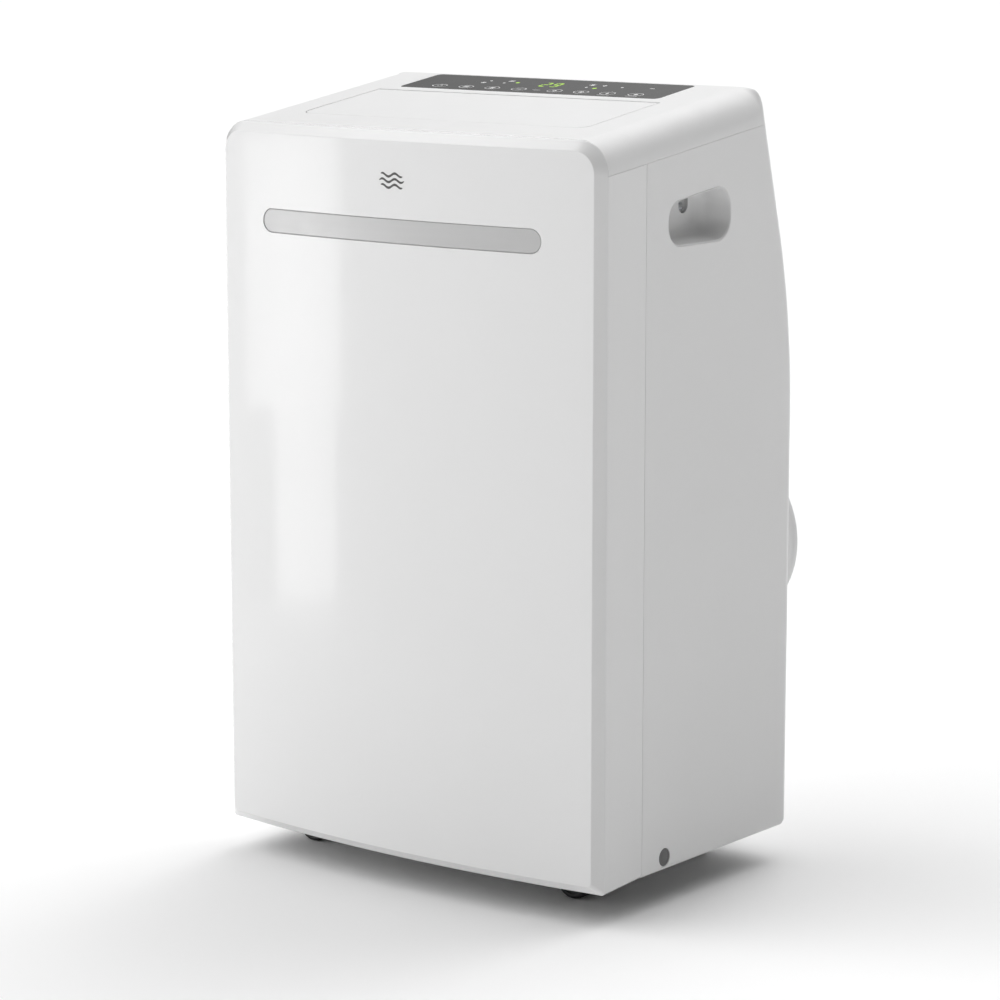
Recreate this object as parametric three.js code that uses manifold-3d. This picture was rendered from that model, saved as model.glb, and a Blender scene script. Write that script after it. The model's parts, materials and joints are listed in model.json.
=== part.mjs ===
// Portable air conditioner on castors: casing, top air outlet with a motor flap, rear filters,
// round exhaust collar, refrigeration circuit and two blowers.
// Millimetres, +Z up, +Y to the rear. The origin is the middle of the footprint, on the floor.

import * as THREE from 'three';
import { mergeVertices } from 'three/addons/utils/BufferGeometryUtils.js';
import Module from 'manifold-3d';

const wasm = await Module();
wasm.setup();

// ---------------------------------------------------------------- driving dimensions

const HALF_WIDTH = 230;
const FRONT_Y = -198;              // furthest forward point of the bowed front
const COLLAR_RIM_Y = 198;          // furthest rearward point, the rim of the exhaust collar
const WALL = 2.5;                  // casing thickness
const GAP = 0.3;                   // clearance between pieces that touch
const SEAM = 0.5;                  // clearance along a visible joint line
const ARC_SEGMENTS = 3;            // three.js uses twice this many on each arc of an outline
const ROUND_SEGMENTS = 20;         // sides of a turned piece
const BEYOND = 300;                // further out than any piece, for cutting right through

const CHAMFER = 9;                 // chamfer round the front face
const BOW_RADIUS = 1604;           // plan radius of the front face
const SHELL_BOTTOM_Z = 31;
const SHELL_TOP_Z = 725.5;         // top of the casing at its front edge
const TOP_EDGE_RADIUS = 30;        // rounding along the two long sides of the top
const FRONT_RETURN_Y = -114.9;     // rear edge of the front panel's side returns
const SIDE_BOTTOM_Z = 34.5;

const REAR_Y = 135.4;              // flat lower part of the back
const REAR_CORNER_RADIUS = 14;
const REAR_BEND_Z = 445;           // the back starts to lean forward here
const REAR_STRAIGHT_Z = 625;       // and is straight again from here
const REAR_BEND_RADIUS = 705;
const REAR_FLANGE_X = 200;         // inner edge of the side panels' rear flanges

const TOP_SLOPE = Math.atan(0.145); // the top rises towards the back
const TOP_FRONT_Y = FRONT_Y + 24.5;
const SEAM_SLOPE = 0.131;          // joint line between the top cover and the sides
const SEAM_FRONT_Z = 693.5;

const STRIP = { halfLength: 166.5, height: 22, z: 632.7, depth: 2, thickness: 1.2 };
const HANDLE = {
  front: -80, rear: 20, bottom: 622.2, topAtFront: 662.8, slope: SEAM_SLOPE,
  frontRadius: 19, rearRadius: 22, depth: 28, wall: 2,
};
const HANDLE_SCREW = { y: -20, z: 654.5, wellRadius: 7.5 };
const PLUG = { y: -78, z: 47, radius: 8.5, depth: 2.2 };
const EXHAUST = { x: 100.5, z: 302.4, radius: 94.4, holeRadius: 90, boreRadius: 86 };

// The top's own frame: v runs up the slope from the front edge, w is square to the surface.
const FLAP = { halfWidth: 169.7, v0: 44.6, v1: 162, thickness: 3, cornerRadius: 12 };
const FLAP_AXIS = { v: 160, w: -6, pinRadius: 1.6, boreRadius: 1.9, pinEnd: 175.5 };
const CONTROLS = { halfWidth: 157, v0: 177.7, v1: 243.3, cornerRadius: 6 };

const DUCT = { halfWidth: 167, y0: -122, y1: -22, z0: 647, z1: 672, z2: 720, wall: 2 };
const VANE = { count: 5, pitch: 60, y0: -112, y1: -32, halfHeight: 18, z: 694, thickness: 1.6 };
const LINK = { drop: 14, height: 3, y0: -118, y1: -115, reach: 128 };

const TRAY = { halfWidth: 226.9, y0: -160, y1: 123, z0: 44, floor: 3, rimTop: 60 };
const DECK = { halfWidth: 226.5, y0: -160, y1: 123, z0: 402, floor: 3, rimTop: 414 };

const CASTOR = { x: 163, frontY: -103, rearY: 85, wheelRadius: 19, wheelWidth: 10, trail: 14 };
const CASTOR_WEB = 4;              // plate between the twin wheels
const CASTOR_STEM_RADIUS = 5;
const CASTOR_REST_TURN = Math.PI / 2;

const UPPER_INTAKE = { x0: -174, x1: 174, z0: 440, z1: 698, rows: 16 };
const LOWER_INTAKE = { x0: -185, x1: 185, z0: 72, z1: 196, rows: 8 };
const UPPER_DRAIN = { x: -120, z: 232, radius: 12, reach: 14 };
const LOWER_DRAIN = { x: 0, z: 54, radius: 9, reach: 10 };
const GLAND = { x: -170, z: 252, radius: 9, boreRadius: 4 };

const EVAPORATOR_FAN = { x: -75, z: 540, y0: -118, y1: -28, r0: 85, growth: 35, outlet: 106 };
const CONDENSER_FAN = { y: -30, z: 235, x0: 50, x1: 150, r0: 70, growth: 30, outlet: 147 };
const SLINGER = { x: 10, z: 104, radius: 44, y0: 66, y1: 74 };
const COMPRESSOR = { x: -95, y: -60, radius: 60, z0: 50, z1: 290 };
const ACCUMULATOR = { x: -186, y: -28, radius: 25, z0: 90, z1: 262 };

// ---------------------------------------------------------------- materials

const finish = (color, roughness, metalness = 0) =>
  new THREE.MeshStandardMaterial({ color, roughness, metalness });

const glossWhite = finish(0xf2f2f0, 0.12);
const satinWhite = finish(0xebebe9, 0.45);
const innerGrey = finish(0xb9bab8, 0.6);
const silver = finish(0xc9c9c6, 0.35, 0.3);
const darkGlass = finish(0x4c4c4a, 0.25);
const greyPlastic = finish(0x828280, 0.5);
const blackPlastic = finish(0x1b1b1c, 0.5);
const blackRubber = finish(0x101011, 0.85);
const filterMesh = finish(0x3a3c3e, 0.9);
const circuitBoard = finish(0x1f5b35, 0.6);
const steel = finish(0x9a9da0, 0.35, 0.9);
const paintedBlack = finish(0x151617, 0.4, 0.3);
const aluminium = finish(0xc4c7c9, 0.4, 0.9);
const copper = finish(0xb3683c, 0.3, 0.95);

// ---------------------------------------------------------------- solids

function solid(geometry) {
  const bare = geometry.clone();
  bare.deleteAttribute('normal');
  bare.deleteAttribute('uv');
  const merged = mergeVertices(bare, 1e-4);
  return new wasm.Manifold(new wasm.Mesh({
    numProp: 3,
    vertProperties: new Float32Array(merged.attributes.position.array),
    triVerts: new Uint32Array(merged.index.array),
  }));
}

function toGeometry(manifold) {
  const mesh = manifold.getMesh();
  const geometry = new THREE.BufferGeometry();
  geometry.setAttribute('position', new THREE.BufferAttribute(mesh.vertProperties, 3));
  geometry.setIndex(new THREE.BufferAttribute(mesh.triVerts, 1));
  geometry.computeVertexNormals();
  return geometry;
}

const united = (first, ...others) => others.reduce((body, other) => body.add(other), first);
const cut = (body, ...tools) => tools.reduce((rest, tool) => rest.subtract(tool), body);

function blockGeometry(x0, x1, y0, y1, z0, z1) {
  const geometry = new THREE.BoxGeometry(x1 - x0, y1 - y0, z1 - z0);
  return geometry.translate((x0 + x1) / 2, (y0 + y1) / 2, (z0 + z1) / 2);
}

const block = (...limits) => solid(blockGeometry(...limits));

// A shape drawn in (Y, Z), (X, Z) or (X, Y) and drawn out along the remaining axis.
function prismGeometry(shape, axis, from, to, steps = 1) {
  const geometry = new THREE.ExtrudeGeometry(shape, {
    depth: to - from, bevelEnabled: false, steps, curveSegments: ARC_SEGMENTS,
  });
  if (axis === 'z') return geometry.translate(0, 0, from);
  if (axis === 'y') return geometry.rotateX(Math.PI / 2).translate(0, to, 0);
  return geometry.rotateX(Math.PI / 2).rotateZ(Math.PI / 2).translate(from, 0, 0);
}

const prism = (...settings) => solid(prismGeometry(...settings));

function rodGeometry(axis, radius, from, to, segments = 16) {
  const geometry = new THREE.CylinderGeometry(radius, radius, to - from, segments);
  if (axis === 'z') geometry.rotateX(Math.PI / 2);
  if (axis === 'x') geometry.rotateZ(Math.PI / 2);
  const middle = (from + to) / 2;
  return geometry.translate(
    axis === 'x' ? middle : 0, axis === 'y' ? middle : 0, axis === 'z' ? middle : 0);
}

// Centre is given as [x, y, z]; its value along the rod's own axis is 0.
const rod = (axis, radius, from, to, [x, y, z], segments) =>
  solid(rodGeometry(axis, radius, from, to, segments).translate(x, y, z));

// A profile of [radius, height] points turned about the chosen axis.
function turned(points, axis, segments = ROUND_SEGMENTS) {
  const profile = points.map(([radius, height]) => new THREE.Vector2(radius, height));
  const geometry = new THREE.LatheGeometry(profile, segments);
  if (axis === 'z') geometry.rotateX(Math.PI / 2);
  if (axis === 'x') geometry.rotateZ(-Math.PI / 2);
  return solid(geometry);
}

function polygon(points) {
  return new THREE.Shape(points.map(([a, b]) => new THREE.Vector2(a, b)));
}

function roundedRectangle(a0, a1, b0, b1, radius) {
  const shape = new THREE.Shape();
  shape.moveTo(a0 + radius, b0);
  shape.lineTo(a1 - radius, b0);
  shape.absarc(a1 - radius, b0 + radius, radius, -Math.PI / 2, 0);
  shape.lineTo(a1, b1 - radius);
  shape.absarc(a1 - radius, b1 - radius, radius, 0, Math.PI / 2);
  shape.lineTo(a0 + radius, b1);
  shape.absarc(a0 + radius, b1 - radius, radius, Math.PI / 2, Math.PI);
  shape.lineTo(a0, b0 + radius);
  shape.absarc(a0 + radius, b0 + radius, radius, Math.PI, 1.5 * Math.PI);
  return shape;
}

// The hand grip's outline in (Y, Z), drawn in by an inset: its top runs along the joint line.
function gripShape(inset) {
  const { front, rear, bottom, topAtFront, slope } = HANDLE;
  const tilt = Math.atan(slope);
  const drop = inset / Math.cos(tilt);
  const roofAt = (y) => topAtFront - drop + slope * (y - front);
  const rf = HANDLE.frontRadius - inset;
  const rr = HANDLE.rearRadius - inset;
  const y0 = front + inset + rf;
  const y1 = rear - inset - rr;
  const shape = new THREE.Shape();
  shape.absarc(y0, bottom + inset + rf, rf, Math.PI, 1.5 * Math.PI);
  shape.absarc(y1, bottom + inset + rr, rr, 1.5 * Math.PI, 2 * Math.PI);
  shape.absarc(y1, roofAt(y1) - rr / Math.cos(tilt), rr, 0, Math.PI / 2 + tilt);
  shape.absarc(y0, roofAt(y0) - rf / Math.cos(tilt), rf, Math.PI / 2 + tilt, Math.PI);
  return shape;
}

function slotShape(a, b, length, height) {
  const radius = height / 2;
  const reach = length / 2 - radius;
  const shape = new THREE.Shape();
  shape.moveTo(a - reach, b - radius);
  shape.lineTo(a + reach, b - radius);
  shape.absarc(a + reach, b, radius, -Math.PI / 2, Math.PI / 2);
  shape.lineTo(a - reach, b + radius);
  shape.absarc(a - reach, b, radius, Math.PI / 2, 1.5 * Math.PI);
  return shape;
}

// ---------------------------------------------------------------- the casing's surfaces

const bowAt = (x) => FRONT_Y + BOW_RADIUS - Math.sqrt(BOW_RADIUS ** 2 - x ** 2);

// Points of the bowed front from left to right, moved back by an offset.
function bowPoints(halfWidth, offset, count = 10) {
  const points = [];
  for (let i = 0; i <= count; i += 1) {
    const x = halfWidth * (2 * i / count - 1);
    points.push([x, bowAt(x) + offset]);
  }
  return points;
}

// A slab between two offsets behind the bowed front, as a plan outline.
const bowedSlab = (halfWidth, near, far) =>
  polygon([...bowPoints(halfWidth, near), ...bowPoints(halfWidth, far).reverse()]);

// How far the back lies forward of its flat lower part at height z.
function rearLean(z) {
  const rise = REAR_STRAIGHT_Z - REAR_BEND_Z;
  if (z <= REAR_BEND_Z) return 0;
  if (z <= REAR_STRAIGHT_Z) {
    return REAR_BEND_RADIUS - Math.sqrt(REAR_BEND_RADIUS ** 2 - (z - REAR_BEND_Z) ** 2);
  }
  const slope = rise / Math.sqrt(REAR_BEND_RADIUS ** 2 - rise ** 2);
  return rearLean(REAR_STRAIGHT_Z) + slope * (z - REAR_STRAIGHT_Z);
}

// A plan outline drawn upwards; whatever lies behind the middle follows the leaning back.
function leaningPrism(shape, z0, z1, steps) {
  const geometry = prismGeometry(shape, 'z', z0, z1, steps);
  const position = geometry.attributes.position;
  for (let i = 0; i < position.count; i += 1) {
    if (position.getY(i) > 0) {
      position.setY(i, position.getY(i) - rearLean(position.getZ(i)));
    }
  }
  return solid(geometry);
}

// Places something built in the top's own frame (x, v, w) on the sloping top.
const onTop = (geometry) =>
  geometry.rotateX(TOP_SLOPE).translate(0, TOP_FRONT_Y, SHELL_TOP_Z);

function topPoint(v, w) {
  return {
    y: TOP_FRONT_Y + v * Math.cos(TOP_SLOPE) - w * Math.sin(TOP_SLOPE),
    z: SHELL_TOP_Z + v * Math.sin(TOP_SLOPE) + w * Math.cos(TOP_SLOPE),
  };
}

const seamHeight = (y) => SEAM_FRONT_Z + SEAM_SLOPE * (y - TOP_FRONT_Y);

// Everything above or below the joint line of the top cover, behind a given Y.
function seamBlock(side, clearance, y0 = TOP_FRONT_Y - 60, y1 = 200) {
  const shift = side === 'above' ? clearance : -clearance;
  const limit = side === 'above' ? 900 : -100;
  return prism(polygon([
    [y0, seamHeight(y0) + shift], [y1, seamHeight(y1) + shift], [y1, limit], [y0, limit],
  ]), 'x', -BEYOND, BEYOND);
}

// ---------------------------------------------------------------- casing pieces

function frontBody(inset) {
  const face = HALF_WIDTH - CHAMFER;
  const side = HALF_WIDTH - inset;
  const back = FRONT_RETURN_Y + (inset > 0 ? 20 : 0);
  const shoulder = bowAt(face) + CHAMFER + inset * 0.4;
  const plan = polygon([
    ...bowPoints(face, inset), [side, shoulder], [side, back], [-side, back], [-side, shoulder],
  ]);
  const height = SHELL_TOP_Z - SHELL_BOTTOM_Z - 2 * inset;
  const wide = polygon([...bowPoints(HALF_WIDTH + 40, inset), [270, 0], [-270, 0]]);
  const chamfered = new THREE.ExtrudeGeometry(wide, {
    depth: height - 2 * CHAMFER,
    bevelEnabled: true,
    bevelSegments: 1,
    bevelThickness: CHAMFER,
    bevelSize: CHAMFER,
    bevelOffset: -CHAMFER,
  }).translate(0, 0, SHELL_BOTTOM_Z + inset + CHAMFER);
  const outline = roundedRectangle(
    -side, side, SHELL_BOTTOM_Z - 100, SHELL_TOP_Z - inset, TOP_EDGE_RADIUS - inset);
  return solid(chamfered)
    .intersect(prism(plan, 'z', SHELL_BOTTOM_Z - 10, SHELL_TOP_Z + 10))
    .intersect(prism(outline, 'y', FRONT_Y - 10, 0));
}

function makeFrontPanel() {
  const stripSlot = slotShape(0, STRIP.z, 2 * STRIP.halfLength + 2 * SEAM, STRIP.height + 2 * SEAM);
  const pocket = prism(stripSlot, 'y', FRONT_Y - 20, -100)
    .intersect(prism(bowedSlab(HALF_WIDTH, -5, STRIP.depth), 'z', 500, 750));
  return cut(
    frontBody(0),
    frontBody(WALL + 0.5),
    pocket,
    seamBlock('above', -SEAM)
      .intersect(block(-BEYOND, BEYOND, TOP_FRONT_Y - SEAM, 0, 600, 800)),
    block(-226, 226, -165, 0, SHELL_BOTTOM_Z - 5, SHELL_BOTTOM_Z + 8),
  );
}

function makeFrontStrip() {
  const near = STRIP.depth - GAP - STRIP.thickness;
  const slot = slotShape(0, STRIP.z, 2 * STRIP.halfLength, STRIP.height);
  return prism(slot, 'y', FRONT_Y - 20, -100)
    .intersect(prism(bowedSlab(HALF_WIDTH, near, STRIP.depth - GAP), 'z', 500, 750));
}

// Plan outline of the casing behind the front panel, with rounded rear corners.
function casingPlan(inset, y0) {
  const side = HALF_WIDTH - inset;
  const rear = REAR_Y - inset;
  const radius = REAR_CORNER_RADIUS - inset;
  const shape = new THREE.Shape();
  shape.moveTo(-side, y0);
  shape.lineTo(side, y0);
  shape.lineTo(side, rear - radius);
  shape.absarc(side - radius, rear - radius, radius, 0, Math.PI / 2);
  shape.lineTo(radius - side, rear);
  shape.absarc(radius - side, rear - radius, radius, Math.PI / 2, Math.PI);
  return shape;
}

function makeSidePanel(sign) {
  const front = FRONT_RETURN_Y + SEAM;
  const inner = casingPlan(WALL, front - 10);
  const shell = leaningPrism(casingPlan(0, front), SIDE_BOTTOM_Z, SIDE_BOTTOM_Z + 760, 10)
    .subtract(leaningPrism(inner, SIDE_BOTTOM_Z - 76, SIDE_BOTTOM_Z + 836, 12));
  const keep = block(
    sign > 0 ? REAR_FLANGE_X : -BEYOND, sign > 0 ? BEYOND : -REAR_FLANGE_X, -200, 200, 0, 800);
  const handle = prism(
    gripShape(-GAP),
    'x', -BEYOND, BEYOND);
  const plug = rod('x', PLUG.radius + GAP, -BEYOND, BEYOND, [0, PLUG.y, PLUG.z]);
  return cut(shell.intersect(keep), seamBlock('above', -SEAM), handle, plug);
}

// A plate that follows the back between two heights; the depths are behind its outer face.
const rearPlate = (x0, x1, z0, z1, near, far) =>
  leaningPrism(polygon([
    [x0, REAR_Y - far], [x1, REAR_Y - far], [x1, REAR_Y - near], [x0, REAR_Y - near],
  ]), z0, z1, Math.max(1, Math.round((z1 - z0) / 60)));

function makeRearPanel() {
  const edge = REAR_FLANGE_X - SEAM;
  const hole = ({ x, z, radius }) => rod('y', radius + GAP, 0, 200, [x, 0, z]);
  const window = ({ x0, x1, z0, z1 }) => block(x0, x1, 0, 200, z0, z1);
  return cut(
    rearPlate(-edge, edge, SIDE_BOTTOM_Z, 745, 0, WALL),
    seamBlock('above', -SEAM),
    window(UPPER_INTAKE),
    window(LOWER_INTAKE),
    rod('y', EXHAUST.holeRadius, 0, 200, [EXHAUST.x, 0, EXHAUST.z], 32),
    hole(UPPER_DRAIN),
    hole(LOWER_DRAIN),
    hole(GLAND),
  );
}

function makeIntakeGrille({ x0, x1, z0, z1, rows }) {
  const border = 14;
  const centreBar = 4;
  const pitch = (z1 - z0 - 2 * border) / rows;
  const slots = [];
  for (let row = 0; row < rows; row += 1) {
    const low = z0 + border + row * pitch;
    const high = low + pitch * 0.55;
    slots.push(block(x0 + border, -centreBar, 0, 200, low, high));
    slots.push(block(centreBar, x1 - border, 0, 200, low, high));
  }
  const plate = rearPlate(x0 + SEAM, x1 - SEAM, z0 + SEAM, z1 - SEAM, 0, WALL);
  return cut(plate, ...slots);
}

const makeFilter = ({ x0, x1, z0, z1 }) =>
  rearPlate(x0 + 6, x1 - 6, z0 + 6, z1 - 6, WALL + GAP, WALL + GAP + 2);

function topBody(inset) {
  const outline = roundedRectangle(
    inset - HALF_WIDTH, HALF_WIDTH - inset, -140, -inset, TOP_EDGE_RADIUS - inset);
  const roof = solid(onTop(prismGeometry(outline, 'y', -60, 400)));
  const front = TOP_FRONT_Y - (inset > 0 ? 30 : 0);
  const lowest = 600;
  const rearHeight = 757;
  const roll = REAR_CORNER_RADIUS - inset;
  const roofFront = topPoint(0, -inset);
  const roofAt = (y) => roofFront.z + Math.tan(TOP_SLOPE) * (y - roofFront.y);
  const rearAt = (z) => REAR_Y - inset - rearLean(z);
  const cornerY = rearAt(rearHeight) - roll;
  const cornerZ = roofAt(cornerY) - roll;
  const profile = new THREE.Shape();
  profile.moveTo(front, lowest);
  profile.lineTo(rearAt(lowest), lowest);
  profile.lineTo(rearAt(cornerZ), cornerZ);
  profile.absarc(cornerY, cornerZ, roll, 0.1, Math.PI / 2 + TOP_SLOPE);
  profile.lineTo(front, roofAt(front));
  return leaningPrism(casingPlan(inset, front), 650, 775, 1)
    .intersect(roof)
    .intersect(prism(profile, 'x', -BEYOND, BEYOND));
}

function makeTopCover() {
  const frontGap = 0.9;
  const rearGapTop = 1.6;
  const rearGapBottom = 4.8;
  const sideReach = FLAP.halfWidth + 1.1;
  const opening = solid(onTop(prismGeometry(roundedRectangle(
    -sideReach, sideReach, FLAP.v0 - frontGap, FLAP.v1 + rearGapTop, FLAP.cornerRadius + 0.5,
  ), 'z', -60, 20)));
  const squareRear = solid(onTop(blockGeometry(
    -sideReach, sideReach, FLAP.v1 - 40, FLAP.v1 + rearGapTop, -60, 20)));
  const undercut = solid(onTop(prismGeometry(polygon([
    [FLAP.v1 - 10, -WALL - 3],
    [FLAP.v1 + rearGapBottom, -WALL - 3],
    [FLAP.v1 + rearGapBottom, -WALL],
    [FLAP.v1 + rearGapTop, 0],
    [FLAP.v1 - 10, 0],
  ]), 'x', -sideReach, sideReach)));
  const controls = solid(onTop(prismGeometry(roundedRectangle(
    -CONTROLS.halfWidth - GAP, CONTROLS.halfWidth + GAP,
    CONTROLS.v0 - GAP, CONTROLS.v1 + GAP, CONTROLS.cornerRadius + GAP,
  ), 'z', -60, 20)));
  return cut(topBody(0), topBody(WALL), seamBlock('below', 0), opening, squareRear, undercut,
    controls);
}

function makeHandlePocket(sign) {
  const outer = HALF_WIDTH - 0.2;
  const floor = outer - HANDLE.depth;
  const limits = (from, to) => (sign > 0 ? [from, to] : [-to, -from]);
  const cup = prism(gripShape(0), 'x', ...limits(floor, outer));
  const hollow = prism(gripShape(HANDLE.wall), 'x', ...limits(floor + HANDLE.wall, outer + 10));
  const screwWell = rod('x', HANDLE_SCREW.wellRadius, ...limits(floor - 5, outer - 5),
    [0, HANDLE_SCREW.y, HANDLE_SCREW.z]);
  return cut(cup, hollow, screwWell);
}

function makeHandleScrew() {
  const thread = rod('x', 2, -16, 0, [0, 0, 0], 8);
  const head = turned([[0, 0], [5, 0], [5, 1.6], [3, 3], [0, 3]], 'x', 12);
  return united(thread, head);
}

const makeSidePlug = () => turned(
  [[0, 0], [PLUG.radius, 0], [PLUG.radius, PLUG.depth], [0, PLUG.depth]], 'x', 16);

// ---------------------------------------------------------------- controls, flap and air outlet

function makeControlPanel() {
  return solid(onTop(prismGeometry(roundedRectangle(
    -CONTROLS.halfWidth, CONTROLS.halfWidth, CONTROLS.v0, CONTROLS.v1, CONTROLS.cornerRadius,
  ), 'z', -WALL, 0)));
}

const makeControlBoard = () => solid(onTop(blockGeometry(
  -CONTROLS.halfWidth + 15, CONTROLS.halfWidth - 15, CONTROLS.v0 + 5, CONTROLS.v1 - 5, -8, -5)));

// The flap is drawn in the top's own frame, like the other pieces of the top.
function makeOutletFlap() {
  const { halfWidth, v0, v1, thickness, cornerRadius } = FLAP;
  const plate = prism(roundedRectangle(-halfWidth, halfWidth, v0, v1, cornerRadius),
    'z', -thickness, 0);
  const rear = block(-halfWidth, halfWidth, v1 - 2 * cornerRadius, v1, -thickness, 0);
  const barrelRadius = 3.2;
  const barrel = (x0, x1) =>
    rod('x', barrelRadius, x0, x1, [0, FLAP_AXIS.v, FLAP_AXIS.w], 12)
      .add(block(x0, x1, FLAP_AXIS.v - 3, FLAP_AXIS.v + 0.8, FLAP_AXIS.w, -thickness + 0.5));
  const pin = rod('x', FLAP_AXIS.pinRadius, -FLAP_AXIS.pinEnd, FLAP_AXIS.pinEnd,
    [0, FLAP_AXIS.v, FLAP_AXIS.w], 12);
  return toGeometry(united(plate, rear, barrel(-halfWidth, 10 - halfWidth),
    barrel(halfWidth - 10, halfWidth), pin));
}

function makeFlapMotor() {
  const axis = topPoint(FLAP_AXIS.v, FLAP_AXIS.w);
  const end = FLAP_AXIS.pinEnd + GAP;
  const can = rod('x', 10, -end - 15, -end - 2, [0, axis.y, axis.z - 8]);
  const shaft = rod('x', 2.5, -end - 3, -end, [0, axis.y, axis.z], 8);
  return can.add(shaft);
}

// The duct widens from the blower's mouth to the full width of the flap.
function makeOutletDuct() {
  const { halfWidth, y0, y1, z0, z1, z2, wall } = DUCT;
  const mouthLeft = EVAPORATOR_FAN.x + EVAPORATOR_FAN.r0 / 2;
  const mouthRight = EVAPORATOR_FAN.x + EVAPORATOR_FAN.r0 + EVAPORATOR_FAN.growth;
  const funnel = (inset, extra) => polygon([
    [mouthLeft + inset, z0 - extra], [mouthRight - inset, z0 - extra],
    [mouthRight - inset, z0 + inset], [halfWidth - inset, z1 + inset],
    [halfWidth - inset, z2 + extra], [inset - halfWidth, z2 + extra],
    [inset - halfWidth, z1 + inset], [mouthLeft + inset, z0 + inset],
  ]);
  const axis = topPoint(FLAP_AXIS.v, FLAP_AXIS.w);
  const ears = [-1, 1].map((sign) => {
    const near = FLAP.halfWidth + 1.6;
    const limits = (from, to) => (sign > 0 ? [from, to] : [-to, -from]);
    return block(...limits(halfWidth - 1, near + 3.2), y1 - 8, axis.y + 6, z2 - 6, z2)
      .add(block(...limits(near, near + 3.2), axis.y - 6, axis.y + 6, z2 - 6, axis.z + 2.6));
  });
  const pinHoles = [];
  for (let i = 0; i < VANE.count; i += 1) {
    pinHoles.push(rod('y', 2.3, y0 - 10, y1 + 10, [vaneX(i), 0, VANE.z], 8));
  }
  return cut(
    united(prism(funnel(0, 0), 'y', y0, y1), ...ears),
    prism(funnel(wall, 10), 'y', y0 + wall, y1 - wall),
    rod('x', FLAP_AXIS.boreRadius, -BEYOND, BEYOND, [0, axis.y, axis.z], 12),
    ...pinHoles,
  );
}

const vaneX = (index) => (index - (VANE.count - 1) / 2) * VANE.pitch;

// One upright vane about its own pivot, which runs front to back.
function makeVane() {
  const { y0, y1, halfHeight, thickness } = VANE;
  const blade = block(-thickness / 2, thickness / 2, y0, y1, -halfHeight, halfHeight);
  const pivot = rod('y', 2, DUCT.y0 - 1, DUCT.y1 + 1, [0, 0, 0], 8);
  const crank = rod('y', 1.4, LINK.y1 + SEAM, y0 + 4, [0, 0, -LINK.drop], 6);
  return toGeometry(united(blade, pivot, crank));
}

const makeVaneLink = () => block(-LINK.reach, LINK.reach, LINK.y0, LINK.y1,
  VANE.z - LINK.drop - LINK.height / 2, VANE.z - LINK.drop + LINK.height / 2);

// ---------------------------------------------------------------- rear fittings

function makeExhaustCollar() {
  const { radius, holeRadius, boreRadius } = EXHAUST;
  const seat = REAR_Y + GAP;
  const neck = holeRadius - GAP;
  const tube = turned([
    [boreRadius, REAR_Y - 16], [neck, REAR_Y - 16], [neck, seat], [radius, seat],
    [radius, COLLAR_RIM_Y - 1.5], [radius - 1.5, COLLAR_RIM_Y], [boreRadius + 1.5, COLLAR_RIM_Y],
    [boreRadius, COLLAR_RIM_Y - 1.5], [boreRadius, REAR_Y - 16],
  ], 'y', 32);
  return tube.translate([EXHAUST.x, 0, EXHAUST.z]);
}

function makeDrainCap({ x, z, radius, reach }) {
  const seat = REAR_Y + GAP;
  const cap = turned([
    [0, REAR_Y - reach], [radius, REAR_Y - reach], [radius, seat],
    [radius + 4, seat], [radius + 4, seat + 5], [0, seat + 5],
  ], 'y', 16);
  const grip = block(-radius + 1, radius - 1, seat + 4, seat + 11, -1.6, 1.6);
  return cap.add(grip).translate([x, 0, z]);
}

function makeCordGland({ x, z, radius, boreRadius }) {
  const seat = REAR_Y + GAP;
  return turned([
    [boreRadius, REAR_Y - 12], [radius, REAR_Y - 12], [radius, seat], [radius + 4, seat],
    [radius + 4, seat + 3], [boreRadius + 3, seat + 9], [boreRadius, seat + 9],
    [boreRadius, REAR_Y - 12],
  ], 'y', 16).translate([x, 0, z]);
}

// ---------------------------------------------------------------- base and castors

function makeBaseTray() {
  const { halfWidth, y0, y1, z0, floor, rimTop } = TRAY;
  const sockets = [];
  const bores = [];
  for (const [x, y] of castorPlaces()) {
    sockets.push(rod('z', 10, z0 + 1, 66, [x, y, 0]));
    bores.push(rod('z', CASTOR_STEM_RADIUS + GAP, z0 - 5, 70, [x, y, 0]));
  }
  const dish = cut(
    block(-halfWidth, halfWidth, y0, y1, z0, rimTop),
    block(WALL - halfWidth, halfWidth - WALL, y0 + WALL, y1 - WALL, z0 + floor, rimTop + 5),
  );
  return cut(united(dish, ...sockets), ...bores);
}

function castorPlaces() {
  const { x, frontY, rearY } = CASTOR;
  return [[x, frontY], [-x, frontY], [x, rearY], [-x, rearY]];
}

// A castor about its own swivel axis, standing on z = 0, with the wheels trailing to +Y.
function makeCastorFork() {
  const { wheelRadius, wheelWidth, trail } = CASTOR;
  const axleReach = CASTOR_WEB / 2 + GAP + wheelWidth - 1;
  const web = prism(polygon([
    [-12, 41], [-10, 30], [trail - 6, wheelRadius - 6], [trail + 6, wheelRadius - 6],
    [trail + 12, 32], [trail + 4, 41],
  ]), 'x', -CASTOR_WEB / 2, CASTOR_WEB / 2);
  const axle = rod('x', 3, -axleReach, axleReach, [0, trail, wheelRadius], 16);
  const plate = rod('z', 15, 40, 43.4, [0, 0, 0]);
  const stem = rod('z', CASTOR_STEM_RADIUS, 42, 64, [0, 0, 0]);
  return toGeometry(united(plate, web, stem, axle));
}

// One wheel about its own axle, which runs along X, spanning x = 0 to the wheel's width.
function makeCastorWheel() {
  const { wheelRadius, wheelWidth } = CASTOR;
  const bore = 3 + GAP;
  return toGeometry(turned([
    [bore, 0], [wheelRadius - 1.5, 0], [wheelRadius, 1.5], [wheelRadius, wheelWidth - 3],
    [wheelRadius - 3, wheelWidth], [bore, wheelWidth], [bore, 0],
  ], 'x'));
}

// ---------------------------------------------------------------- refrigeration and blowers

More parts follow.
